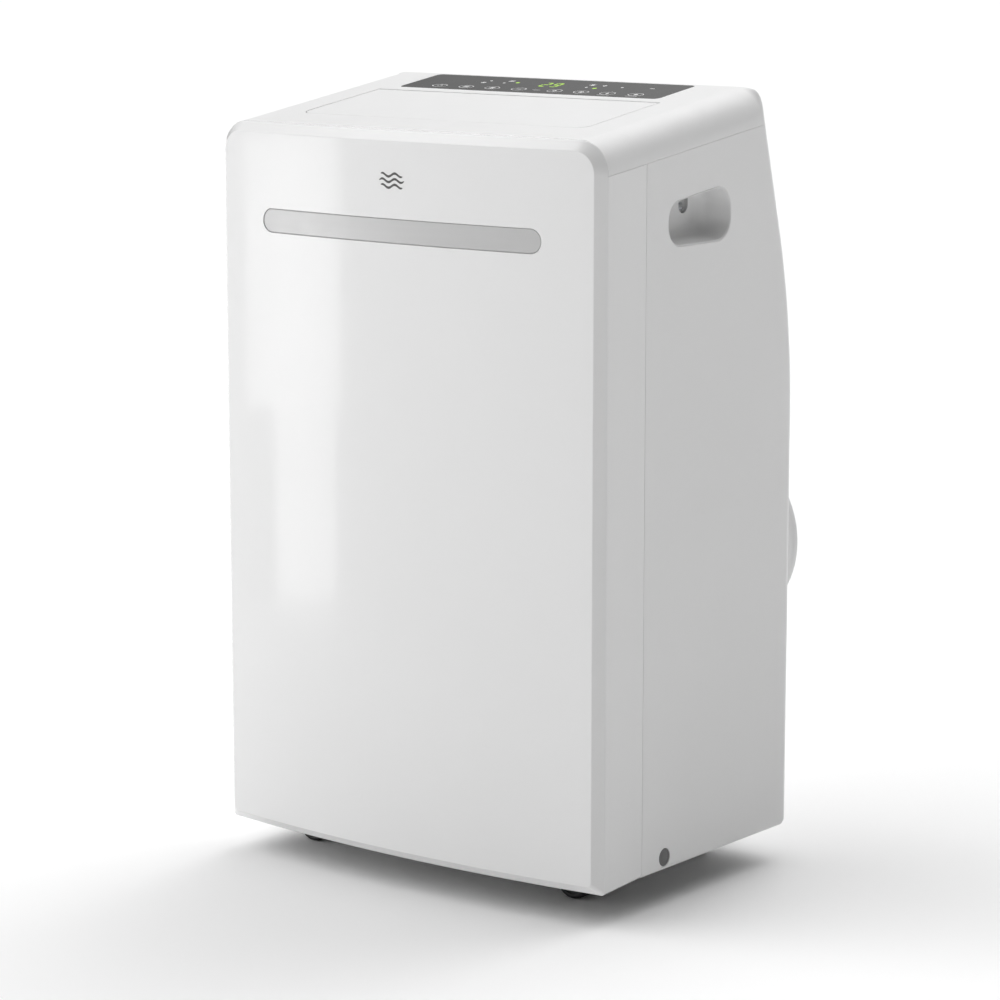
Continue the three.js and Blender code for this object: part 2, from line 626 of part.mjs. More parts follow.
function makeDeck() {
  const { halfWidth, y0, y1, z0, floor, rimTop } = DECK;
  return cut(
    block(-halfWidth, halfWidth, y0, y1, z0, rimTop),
    block(WALL - halfWidth, halfWidth - WALL, y0 + WALL, y1 - WALL, z0 + floor, rimTop + 5),
    rod('z', 9, z0 - 5, rimTop + 5, [-200, 70, 0], 20),
  );
}

const SCROLL_STEPS = 14;

// Blower housing outline about the wheel's centre, with its mouth facing +b.
function scrollShape(r0, growth, outlet, inset) {
  const start = Math.PI / 3;
  const points = [[r0 * Math.cos(start) + inset, outlet + (inset > 0 ? 10 : 0)]];
  for (let i = 0; i <= SCROLL_STEPS; i += 1) {
    const angle = start + (2 * Math.PI - start) * i / SCROLL_STEPS;
    const radius = r0 + growth * i / SCROLL_STEPS - inset;
    points.push([radius * Math.cos(angle), radius * Math.sin(angle)]);
  }
  points[1][0] = points[0][0];
  points.push([r0 + growth - inset, outlet + (inset > 0 ? 10 : 0)]);
  return polygon(points);
}

function makeEvaporatorScroll() {
  const { x, z, y0, y1, r0, growth, outlet } = EVAPORATOR_FAN;
  return cut(
    prism(scrollShape(r0, growth, outlet, 0), 'y', y0, y1),
    prism(scrollShape(r0, growth, outlet, WALL), 'y', y0 + WALL, y1 - WALL),
    rod('y', 60, y1 - 5, y1 + 5, [0, 0, 0]),
    rod('y', 6, y0 - 5, y0 + 5, [0, 0, 0], 16),
  ).translate([x, 0, z]);
}

function makeCondenserScroll() {
  const { y, z, x0, x1, r0, growth, outlet } = CONDENSER_FAN;
  const shape = (inset) => {
    const points = scrollShape(r0, growth, outlet, inset).getPoints();
    return polygon(points.map((point) => [point.y, point.x]));
  };
  return cut(
    prism(shape(0), 'x', x0, x1),
    prism(shape(WALL), 'x', x0 + WALL, x1 - WALL),
    rod('x', 50, x0 - 5, x0 + 5, [0, 0, 0]),
    rod('x', 6, x1 - 5, x1 + 5, [0, 0, 0], 16),
  ).translate([0, y, z]);
}

// A drum with a back plate and a shaft that reaches its motor; depth runs along the axis.
function makeBlowerWheel(axis, radius, depth, shaftEnd) {
  return toGeometry(turned([
    [0, shaftEnd], [4, shaftEnd], [4, 0], [radius, 0], [radius, depth], [radius - 8, depth],
    [radius - 8, 3], [14, 3], [10, depth / 2], [0, depth / 2],
  ], axis));
}

function makeMotor(axis, radius, from, to, centre) {
  const bevel = 4;
  return turned([
    [0, from], [radius - bevel, from], [radius, from + bevel], [radius, to - bevel],
    [radius - bevel, to], [0, to],
  ], axis).translate(centre);
}

function makeSlingerWheel() {
  const { x, z, radius, y0, y1 } = SLINGER;
  return turned([
    [0, y0 - 4], [4, y0 - 4], [4, y0], [radius, y0], [radius, y1], [radius - 6, y1],
    [radius - 6, y0 + 3], [0, y0 + 3],
  ], 'y').translate([x, 0, z]);
}

function makeCompressor() {
  const { x, y, radius, z0, z1 } = COMPRESSOR;
  const feet = turned([[0, z0 - 2], [radius + 8, z0 - 2], [radius + 8, z0 + 4], [0, z0 + 4]], 'z', 6);
  const can = turned([
    [0, z0], [radius, z0], [radius, z1 - 40], [radius * 0.9, z1 - 18], [radius * 0.6, z1 - 4],
    [0, z1],
  ], 'z');
  return can.add(feet).translate([x, y, 0]);
}

function makeAccumulator() {
  const { x, y, radius, z0, z1 } = ACCUMULATOR;
  return turned([
    [0, z0], [radius * 0.6, z0 + 3], [radius, z0 + 15], [radius, z1 - 15],
    [radius * 0.6, z1 - 3], [0, z1],
  ], 'z', 16).translate([x, y, 0]);
}

// A finned block between two thin end plates.
function makeCoil(halfWidth, y0, y1, z0, z1) {
  const plate = 2;
  const reach = halfWidth - 6;
  return united(
    block(-reach, reach, y0 + 1, y1 - 1, z0 + 1, z1 - 1),
    block(-halfWidth, plate - halfWidth, y0, y1, z0, z1).add(
      block(-halfWidth + 1, -reach + 1, y0 + 3, y1 - 3, z0 + 3, z1 - 3)),
    block(halfWidth - plate, halfWidth, y0, y1, z0, z1).add(
      block(reach - 1, halfWidth - 1, y0 + 3, y1 - 3, z0 + 3, z1 - 3)),
  );
}

function makePipe(radius, route) {
  const path = new THREE.CatmullRomCurve3(route.map((point) => new THREE.Vector3(...point)));
  const section = new THREE.Shape().absarc(0, 0, radius, 0, 2 * Math.PI);
  return new THREE.ExtrudeGeometry(section, { extrudePath: path, steps: 14, curveSegments: 4 });
}

// ---------------------------------------------------------------- assembly

const group = new THREE.Group();

function addPart(name, shape, material, parent = group) {
  const geometry = shape.isBufferGeometry ? shape : toGeometry(shape);
  const mesh = new THREE.Mesh(geometry, material);
  mesh.name = name;
  parent.add(mesh);
  return mesh;
}

addPart('front_panel', makeFrontPanel(), glossWhite);
addPart('front_strip', makeFrontStrip(), silver);
addPart('rear_panel', makeRearPanel(), satinWhite);
addPart('top_cover', makeTopCover(), satinWhite);
addPart('base_tray', makeBaseTray(), innerGrey);
addPart('divider_deck', makeDeck(), innerGrey);

for (const [side, sign] of [['right', 1], ['left', -1]]) {
  addPart(`${side}_side_panel`, makeSidePanel(sign), satinWhite);
  addPart(`${side}_handle_pocket`, makeHandlePocket(sign), satinWhite);
  const screw = addPart(`${side}_handle_screw`, makeHandleScrew(), steel);
  screw.position.set(sign * (HALF_WIDTH - HANDLE.depth - 4), HANDLE_SCREW.y, HANDLE_SCREW.z);
  screw.rotation.z = sign > 0 ? 0 : Math.PI;
  const plug = addPart(`${side}_side_plug`, makeSidePlug(), greyPlastic);
  plug.position.set(sign * (HALF_WIDTH - PLUG.depth - GAP), PLUG.y, PLUG.z);
  plug.rotation.z = sign > 0 ? 0 : Math.PI;
}

addPart('control_panel', makeControlPanel(), darkGlass);
addPart('control_board', makeControlBoard(), circuitBoard);

const topFrame = new THREE.Group();
topFrame.position.set(0, TOP_FRONT_Y, SHELL_TOP_Z);
topFrame.rotation.x = TOP_SLOPE;
group.add(topFrame);
addPart('outlet_flap', makeOutletFlap(), satinWhite, topFrame);

addPart('flap_motor', makeFlapMotor(), innerGrey);
addPart('outlet_duct', makeOutletDuct(), innerGrey);
const vane = makeVane();
for (let i = 0; i < VANE.count; i += 1) {
  addPart(`air_vane_${i + 1}`, vane, blackPlastic).position.set(vaneX(i), 0, VANE.z);
}
addPart('vane_link', makeVaneLink(), blackPlastic);

addPart('upper_intake_grille', makeIntakeGrille(UPPER_INTAKE), satinWhite);
addPart('upper_filter', makeFilter(UPPER_INTAKE), filterMesh);
addPart('lower_intake_grille', makeIntakeGrille(LOWER_INTAKE), satinWhite);
addPart('lower_filter', makeFilter(LOWER_INTAKE), filterMesh);
addPart('exhaust_collar', makeExhaustCollar(), satinWhite);
addPart('upper_drain_cap', makeDrainCap(UPPER_DRAIN), greyPlastic);
addPart('lower_drain_cap', makeDrainCap(LOWER_DRAIN), greyPlastic);
addPart('cord_gland', makeCordGland(GLAND), blackRubber);

const forkShape = makeCastorFork();
const wheelShape = makeCastorWheel();
const castorNames = ['front_right', 'front_left', 'rear_right', 'rear_left'];
castorPlaces().forEach(([x, y], index) => {
  const castor = new THREE.Group();
  castor.position.set(x, y, 0);
  castor.rotation.z = CASTOR_REST_TURN;
  group.add(castor);
  const name = `castor_${castorNames[index]}`;
  addPart(`${name}_fork`, forkShape, blackPlastic, castor);
  const offset = CASTOR_WEB / 2 + GAP;
  const wheelA = addPart(`${name}_wheel_a`, wheelShape, blackPlastic, castor);
  wheelA.position.set(offset, CASTOR.trail, CASTOR.wheelRadius);
  const wheelB = addPart(`${name}_wheel_b`, wheelShape, blackPlastic, castor);
  wheelB.position.set(-offset, CASTOR.trail, CASTOR.wheelRadius);
  wheelB.rotation.z = Math.PI;
});

addPart('compressor', makeCompressor(), paintedBlack);
addPart('accumulator', makeAccumulator(), paintedBlack);
addPart('evaporator_coil', makeCoil(185, 62, 98, 432, 640), aluminium);
addPart('condenser_coil', makeCoil(190, 88, 122, 68, 200), aluminium);

addPart('evaporator_scroll', makeEvaporatorScroll(), innerGrey);
const evaporatorWheel = addPart('evaporator_wheel', makeBlowerWheel('y', 75, 62, -15), blackPlastic);
evaporatorWheel.position.set(EVAPORATOR_FAN.x, EVAPORATOR_FAN.y0 + 12, EVAPORATOR_FAN.z);
addPart('evaporator_motor', makeMotor('y', 38, -164, EVAPORATOR_FAN.y0 - 3.5,
  [EVAPORATOR_FAN.x, 0, EVAPORATOR_FAN.z]), paintedBlack);

addPart('condenser_scroll', makeCondenserScroll(), innerGrey);
const condenserWheel = addPart('condenser_wheel', makeBlowerWheel('x', 60, 70, -15), blackPlastic);
condenserWheel.position.set(CONDENSER_FAN.x1 - 12, CONDENSER_FAN.y, CONDENSER_FAN.z);
condenserWheel.rotation.z = Math.PI;
addPart('condenser_motor', makeMotor('x', 36, CONDENSER_FAN.x1 + 3.5, 200,
  [0, CONDENSER_FAN.y, CONDENSER_FAN.z]), paintedBlack);

addPart('slinger_wheel', makeSlingerWheel(), blackPlastic);
addPart('slinger_motor', makeMotor('y', 20, 28, SLINGER.y0 - 4.4, [SLINGER.x, 0, SLINGER.z]),
  paintedBlack);
addPart('electrical_box', block(70, 215, -165, -133, 80, 270), steel);

addPart('suction_pipe', makePipe(5, [
  [-190, 78, 466], [-196, 76, 458], [-200, 72, 440], [-200, 70, 408], [-200, 66, 350],
  [-194, 20, 310], [-187, -20, 290], [-186, -28, 262.6],
]), copper);
addPart('discharge_pipe', makePipe(4, [
  [-95, -60, 291], [-95, -59, 312], [-95, -30, 336], [-95, 40, 330], [-95, 92, 290],
  [-95, 104, 240], [-95, 105, 200.6],
]), copper);

export default group;
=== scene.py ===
import json
import math

import bmesh
import bpy
from mathutils import Matrix, Vector
from mathutils.geometry import delaunay_2d_cdt


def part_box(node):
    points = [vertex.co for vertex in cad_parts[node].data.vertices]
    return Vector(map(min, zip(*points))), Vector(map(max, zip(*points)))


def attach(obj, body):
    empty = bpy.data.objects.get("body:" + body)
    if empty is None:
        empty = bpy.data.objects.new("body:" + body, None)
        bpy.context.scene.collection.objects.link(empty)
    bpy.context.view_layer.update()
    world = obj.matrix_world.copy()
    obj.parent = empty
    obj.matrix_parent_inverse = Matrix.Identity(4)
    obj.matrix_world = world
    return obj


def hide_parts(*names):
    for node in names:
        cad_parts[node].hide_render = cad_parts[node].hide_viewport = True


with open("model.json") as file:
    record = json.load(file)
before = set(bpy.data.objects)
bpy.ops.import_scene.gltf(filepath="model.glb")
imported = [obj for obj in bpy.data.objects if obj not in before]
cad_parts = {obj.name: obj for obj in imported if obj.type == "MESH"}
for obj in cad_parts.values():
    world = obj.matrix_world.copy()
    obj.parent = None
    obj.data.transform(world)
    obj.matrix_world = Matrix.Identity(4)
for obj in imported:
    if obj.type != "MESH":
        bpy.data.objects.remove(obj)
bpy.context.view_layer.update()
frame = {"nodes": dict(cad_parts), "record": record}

# Shapes are worked out in millimetres in the frame's axes, and scaled once as meshes are made.
MM = 0.001


def corners(node):
    """Lowest and highest corner of a CAD node, in millimetres."""
    low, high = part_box(node)
    return [value / MM for value in low], [value / MM for value in high]


def middle(node, axis):
    low, high = corners(node)
    return (low[axis] + high[axis]) / 2


# ---------------------------------------------------------------- driving dimensions

PANEL_LOW, PANEL_HIGH = corners("front_panel")
SIDE_LOW, SIDE_HIGH = corners("right_side_panel")
COLLAR_LOW, COLLAR_HIGH = corners("exhaust_collar")

WALL = 2.5
FRONT_WALL = 1.8
TOP_WALL = 1.5
SEAM = 0.5
TOP_SEAM = 0.15
HALF_WIDTH = PANEL_HIGH[0]
# The face lies this far behind, and the top below, the CAD's, so that nothing stands proud of it.
PROUD = 0.15
TOP_DIP = 0.46
FRONT_Y = PANEL_LOW[1] + PROUD
SHELL_BOTTOM_Z = PANEL_LOW[2]
SHELL_TOP_Z = PANEL_HIGH[2] - TOP_DIP
RETURN_Y = PANEL_HIGH[1]
CHAMFER = 9.0
BOW_RADIUS = 1604.0
TOP_EDGE_RADIUS = 30.0
LOW_CORNER_RADIUS = 4.5
LOW_EDGE_RADIUS = 3.5
REAR_LOW_RADIUS = 10.0
SIDE_BOTTOM_Z = SIDE_LOW[2]
REAR_Y = SIDE_HIGH[1]
REAR_CORNER_RADIUS = 14.0
REAR_TOP_RADIUS = 7.0
ROOF_CORNER_RADIUS = 2.5
REAR_BEND_Z = 445.0
REAR_STRAIGHT_Z = 625.0
REAR_BEND_RADIUS = 705.0
REAR_FLANGE_X = SIDE_LOW[0]

TOP_SLOPE = math.atan(0.145)
TOP_FRONT_Y = PANEL_LOW[1] + 24.5
SEAM_SLOPE = 0.131
SEAM_FRONT_Z = 693.5

STRIP = {"reach": 155.5, "radius": 11.0, "z": 632.7, "depth": 2.0}
# The hand grip is a rounded four-sided cup with its top edge parallel to the joint line.
GRIP = {"front": -80.0, "rear": 20.0, "bottom": 622.2, "top_at_front": 662.8, "depth": 26.0}
GRIP_RADIUS = {"front": 19.0, "rear": 22.0, "floor": 7.0, "lip": 1.0}
GRIP_DRAFT = {"front": 3.0, "rear": 14.0, "bottom": 5.0, "top": 2.0}
SCREW = {"y": -20.0, "z": 654.5}
SCREW_SLOT = {"y": -20.2, "z": 655.5, "radius": 7.5, "top": 664.0}
PLUG_RADIUS = 8.5
# Where the collar, the drain caps and the cord's inlet sit on the back, and how much wider
# their flanges are than what goes through it.
SEAT_Y = REAR_Y + 0.3
FLANGE_WIDTH = 4.0
EXHAUST = {"x": middle("exhaust_collar", 0), "z": middle("exhaust_collar", 2), "hole": 90.0}
UPPER_INTAKE = {"half_width": 174.0, "z0": 440.0, "z1": 698.0, "rows": 16}
LOWER_INTAKE = {"half_width": 185.0, "z0": 72.0, "z1": 196.0, "rows": 8}

FLAP = {"half_width": 169.7, "v0": 44.6, "v1": 162.0, "thickness": 3.0, "radius": 12.0}
FLAP_AXIS = {"v": 160.0, "w": -6.0 + TOP_DIP}
FLAP_GAP = {"side": 1.1, "front": 0.7, "rear": 2.5, "radius": 12.5}
CONTROLS = {"half_width": 157.0, "v0": 177.7, "v1": 243.3, "radius": 6.0}

VANE = {"z": 694.0, "front": -112.0, "rear": -32.0, "half_height": 18.0, "half_thickness": 0.8}
CASTOR = {"x": 163.0, "trail": 14.0, "radius": 19.0, "width": 10.0, "web_half": 2.0}

# Steps along the front outline: across, up a side, round a low corner, over the joint and
# round a top corner.
ACROSS_STEPS, SIDE_STEPS, LOW_STEPS, JOINT_STEPS, TOP_STEPS = 48, 44, 6, 2, 16
# Steps from the front casing's edge back to the first seam; its lip below ends after three.
RETURN_STEPS, LIP_STEPS = 8, 3


def bow(x):
    """Y of the bowed front face at x."""
    return FRONT_Y + BOW_RADIUS - math.sqrt(BOW_RADIUS ** 2 - x ** 2)


def rear_lean(z):
    """How far the back lies forward of its flat lower part at height z."""
    rise = REAR_STRAIGHT_Z - REAR_BEND_Z
    if z <= REAR_BEND_Z:
        return 0.0
    if z <= REAR_STRAIGHT_Z:
        return REAR_BEND_RADIUS - math.sqrt(REAR_BEND_RADIUS ** 2 - (z - REAR_BEND_Z) ** 2)
    slope = rise / math.sqrt(REAR_BEND_RADIUS ** 2 - rise ** 2)
    return rear_lean(REAR_STRAIGHT_Z) + slope * (z - REAR_STRAIGHT_Z)


def seam_z(y):
    """Height of the joint line between the top cover and the sides."""
    return SEAM_FRONT_Z + SEAM_SLOPE * (y - TOP_FRONT_Y)


def roof_z(y):
    return SHELL_TOP_Z + math.tan(TOP_SLOPE) * (y - TOP_FRONT_Y)


# The top's own frame: X, then v up the slope from the front edge, then w square to the surface.
TOP_FRAME = (Matrix.Translation((0, TOP_FRONT_Y, SHELL_TOP_Z))
             @ Matrix.Rotation(TOP_SLOPE, 4, "X"))


def on_top(x, v, w=0.0):
    return TOP_FRAME @ Vector((x, v, w))


# ---------------------------------------------------------------- outlines


def line(a, b, count):
    """Points from a to b, leaving b out."""
    return [tuple(p + (q - p) * i / count for p, q in zip(a, b)) for i in range(count)]


def arc(cx, cy, radius, start, end, count):
    """Points on an arc between two angles in degrees, both ends included."""
    angles = [math.radians(start + (end - start) * i / count) for i in range(count + 1)]
    return [(cx + radius * math.cos(a), cy + radius * math.sin(a)) for a in angles]


def rounded_rect(a0, a1, b0, b1, radius, count=6):
    return (arc(a1 - radius, b0 + radius, radius, -90, 0, count)
            + arc(a1 - radius, b1 - radius, radius, 0, 90, count)
            + arc(a0 + radius, b1 - radius, radius, 90, 180, count)
            + arc(a0 + radius, b0 + radius, radius, 180, 270, count))


def circle(a, b, radius, count=48):
    return arc(a, b, radius, 0, 360 - 360 / count, count - 1)


def fillet(corner, before, after, radius, count=4):
    """Arc that rounds a corner of a profile, between the points before and after it."""
    c, p, q = Vector(corner), Vector(before), Vector(after)
    one, two = (p - c).normalized(), (q - c).normalized()
    half = one.angle(two) / 2
    start, end = c + one * radius / math.tan(half), c + two * radius / math.tan(half)
    centre = c + (one + two).normalized() * radius / math.sin(half)
    first, last = start - centre, end - centre
    sweep = first.angle(last)
    points = []
    for i in range(count + 1):
        share = i / count
        mix = (first * math.sin((1 - share) * sweep) + last * math.sin(share * sweep))
        points.append(tuple(centre + mix / math.sin(sweep)))
    return points


def grip_outline(drawn_in=0.0, rounded_in=0.0):
    """The grip's outline as (Y, Z): the share drawn in by the draft, and rounded in evenly."""
    front = GRIP["front"] + GRIP_DRAFT["front"] * drawn_in + rounded_in
    rear = GRIP["rear"] - GRIP_DRAFT["rear"] * drawn_in - rounded_in
    bottom = GRIP["bottom"] + GRIP_DRAFT["bottom"] * drawn_in + rounded_in
    top = GRIP["top_at_front"] - GRIP_DRAFT["top"] * drawn_in - rounded_in
    posts = [(front, top + SEAM_SLOPE * (front - GRIP["front"])), (front, bottom),
             (rear, bottom), (rear, top + SEAM_SLOPE * (rear - GRIP["front"]))]
    points = []
    for i, post in enumerate(posts):
        radius = GRIP_RADIUS["front"] if i < 2 else GRIP_RADIUS["rear"]
        radius = (radius - rounded_in) * (1 - 0.45 * drawn_in)
        points += fillet(post, posts[i - 1], posts[(i + 1) % 4], radius, 9)
    return points


# ---------------------------------------------------------------- meshes


def object_from(name, bm, material=None, scale=MM):
    mesh = bpy.data.meshes.new(name)
    bm.to_mesh(mesh)
    bm.free()
    mesh.transform(Matrix.Scale(scale, 4))
    mesh.polygons.foreach_set("use_smooth", [True] * len(mesh.polygons))
    obj = bpy.data.objects.new(name, mesh)
    bpy.context.scene.collection.objects.link(obj)
    if material is not None:
        mesh.materials.append(material)
    return obj


def apply_modifiers(obj):
    bpy.context.view_layer.update()
    graph = bpy.context.evaluated_depsgraph_get()
    mesh = bpy.data.meshes.new_from_object(
        obj.evaluated_get(graph), preserve_all_data_layers=True, depsgraph=graph)
    old = obj.data
    obj.modifiers.clear()
    obj.data = mesh
    bpy.data.meshes.remove(old)
    mesh.name = obj.name
    return obj


def loft(bm, rings, closed=True):
    """Quads between neighbouring rings of points."""
    made = [[bm.verts.new(point) for point in ring] for ring in rings]
    for one, two in zip(made, made[1:]):
        count = len(one)
        for i in range(count if closed else count - 1):
            j = (i + 1) % count
            bm.faces.new((one[i], one[j], two[j], two[i]))


def fill(bm, *loops):
    """Fills a flat outline that may have holes in it."""
    loops = [[Vector(point) for point in loop] for loop in loops]
    normal = Vector()
    for a, b in zip(loops[0], loops[0][1:] + loops[0][:1]):
        normal += a.cross(b)
    turn = normal.rotation_difference(Vector((0, 0, 1))).to_matrix()
    places = []
    outlines = []
    for loop in loops:
        outlines.append(list(range(len(places), len(places) + len(loop))))
        places += loop
    flat = [(turn @ point).to_2d() for point in places]
    leave_out_holes = 5
    _, _, faces, origins, _, _ = delaunay_2d_cdt(flat, [], outlines, leave_out_holes, 1e-5)
    made = [bm.verts.new(places[origin[0]]) for origin in origins]
    for face in faces:
        bm.faces.new([made[i] for i in face])


def mirror(bm, sign):
    """Turns a mesh made for the right into one for the left where sign is -1."""
    bmesh.ops.transform(bm, matrix=Matrix.Diagonal((sign, 1, 1, 1)), verts=bm.verts)


def mirrored(obj, sign):
    """The same for a finished piece."""
    if sign < 0:
        obj.data.transform(Matrix.Diagonal((-1, 1, 1, 1)))
        obj.data.flip_normals()
    return obj


def weld(bm, distance=0.02):
    bmesh.ops.remove_doubles(bm, verts=bm.verts, dist=distance)
    loose = [edge for edge in bm.edges if not edge.link_faces]
    bmesh.ops.delete(bm, geom=loose, context="EDGES")
    bmesh.ops.recalc_face_normals(bm, faces=bm.faces)


def finish_edges(obj, width, segments=2):
    """Rounds the sharp edges, and shades large faces flat."""
    if width > 0:
        bevel = obj.modifiers.new("bevel", "BEVEL")
        bevel.width = width * MM
        bevel.segments = segments
        bevel.limit_method = "ANGLE"
        bevel.angle_limit = math.radians(35.0)
        bevel.use_clamp_overlap = False
    weighted = obj.modifiers.new("weighted", "WEIGHTED_NORMAL")
    weighted.weight = 60
    return apply_modifiers(obj)


def shell(name, bm, material, inside, thickness=WALL, edge=0.35):
    """Gives an open sheet a thickness, on the side of the point inside."""
    weld(bm)
    centre = Vector(inside)
    votes = sum((f.calc_center_median() - centre).dot(f.normal) * f.calc_area() for f in bm.faces)
    if votes < 0:
        bmesh.ops.reverse_faces(bm, faces=bm.faces)
    obj = object_from(name, bm, material)
    solidify = obj.modifiers.new("solidify", "SOLIDIFY")
    solidify.thickness = thickness * MM
    solidify.offset = -1.0
    solidify.use_even_offset = True
    solidify.use_rim = True
    apply_modifiers(obj)
    return finish_edges(obj, edge)


def prism(name, outline, axis, start, end, material=None, edge=0.0, matrix=None, segments=2):
    """A closed outline drawn out along an axis; outlines are (Y, Z), (X, Z) or (X, Y)."""
    to_point = {
        "x": lambda a, b, c: (c, a, b),
        "y": lambda a, b, c: (a, c, b),
        "z": lambda a, b, c: (a, b, c),
    }[axis]
    bm = bmesh.new()
    loft(bm, [[to_point(a, b, c) for a, b in outline] for c in (start, end)])
    bm.verts.ensure_lookup_table()
    count = len(outline)
    bm.faces.new(bm.verts[:count])
    bm.faces.new(bm.verts[count:])
    weld(bm, 1e-3)
    if matrix is not None:
        bmesh.ops.transform(bm, matrix=matrix, verts=bm.verts)
    obj = object_from(name, bm, material)
    return finish_edges(obj, edge, segments) if edge > 0 else obj


def box(name, x0, x1, y0, y1, z0, z1, material=None, edge=0.0, matrix=None):
    outline = [(x0, y0), (x1, y0), (x1, y1), (x0, y1)]
    return prism(name, outline, "z", z0, z1, material, edge, matrix)


def turned(name, profile, axis, centre, material=None, count=64, matrix=None):
    """A closed profile of (radius, height) points turned about an axis through centre."""
    to_point = {
        "x": lambda r, s, h: (h, r, s),
        "y": lambda r, s, h: (s, h, r),
        "z": lambda r, s, h: (r, s, h),
    }[axis]
    rings = []
    for radius, height in list(profile) + [profile[0]]:
        ring = circle(0, 0, radius, count) if radius > 1e-6 else [(0, 0)] * count
        rings.append([Vector(to_point(r, s, height)) + Vector(centre) for r, s in ring])
    bm = bmesh.new()
    loft(bm, rings)
    weld(bm, 1e-3)
    if matrix is not None:
        bmesh.ops.transform(bm, matrix=matrix, verts=bm.verts)
    return finish_edges(object_from(name, bm, material), 0)


def capped(name, rings, edge=0.0):
    """A bar drawn through rings of points, closed by a face at each end."""
    bm = bmesh.new()
    loft(bm, rings)
    for ring in (rings[0], rings[-1]):
        bm.faces.new([bm.verts.new(point) for point in ring])
    weld(bm, 1e-3)
    obj = object_from(name, bm)
    return finish_edges(obj, edge) if edge > 0 else obj


def carve(obj, *cutters):
    """Cuts each cutter out of obj and removes it."""
    for cutter in cutters:
        boolean = obj.modifiers.new("carve", "BOOLEAN")
        boolean.operation = "DIFFERENCE"
        boolean.solver = "EXACT"
        boolean.object = cutter
        apply_modifiers(obj)
        bpy.data.objects.remove(cutter)
    return obj


def joined(name, parts, material):
    """Several meshes as one piece."""
    bm = bmesh.new()
    for part in parts:
        bm.from_mesh(part.data)
        bpy.data.objects.remove(part)
    obj = object_from(name, bm, material, scale=1.0)
    return finish_edges(obj, 0)


def place(obj, body, slot, *nodes):
    """The body that a piece rides on, and the CAD nodes it stands for; the slot for its finish is
    not used.
    """
    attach(obj, body)
    if nodes:
        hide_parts(*nodes)
    return obj


# ---------------------------------------------------------------- materials

# Sockets of a Mix node that blends colours; its sockets for numbers have the same names.
MIX_SHARE, MIX_A, MIX_B, MIX_RESULT = 0, 6, 7, 2


MATERIALS = {}


def colour(code):
    """An sRGB hex code as linear colour."""
    values = [int(code[i:i + 2], 16) / 255 for i in (0, 2, 4)]
    return [v / 12.92 if v <= 0.04045 else ((v + 0.055) / 1.055) ** 2.4 for v in values] + [1.0]


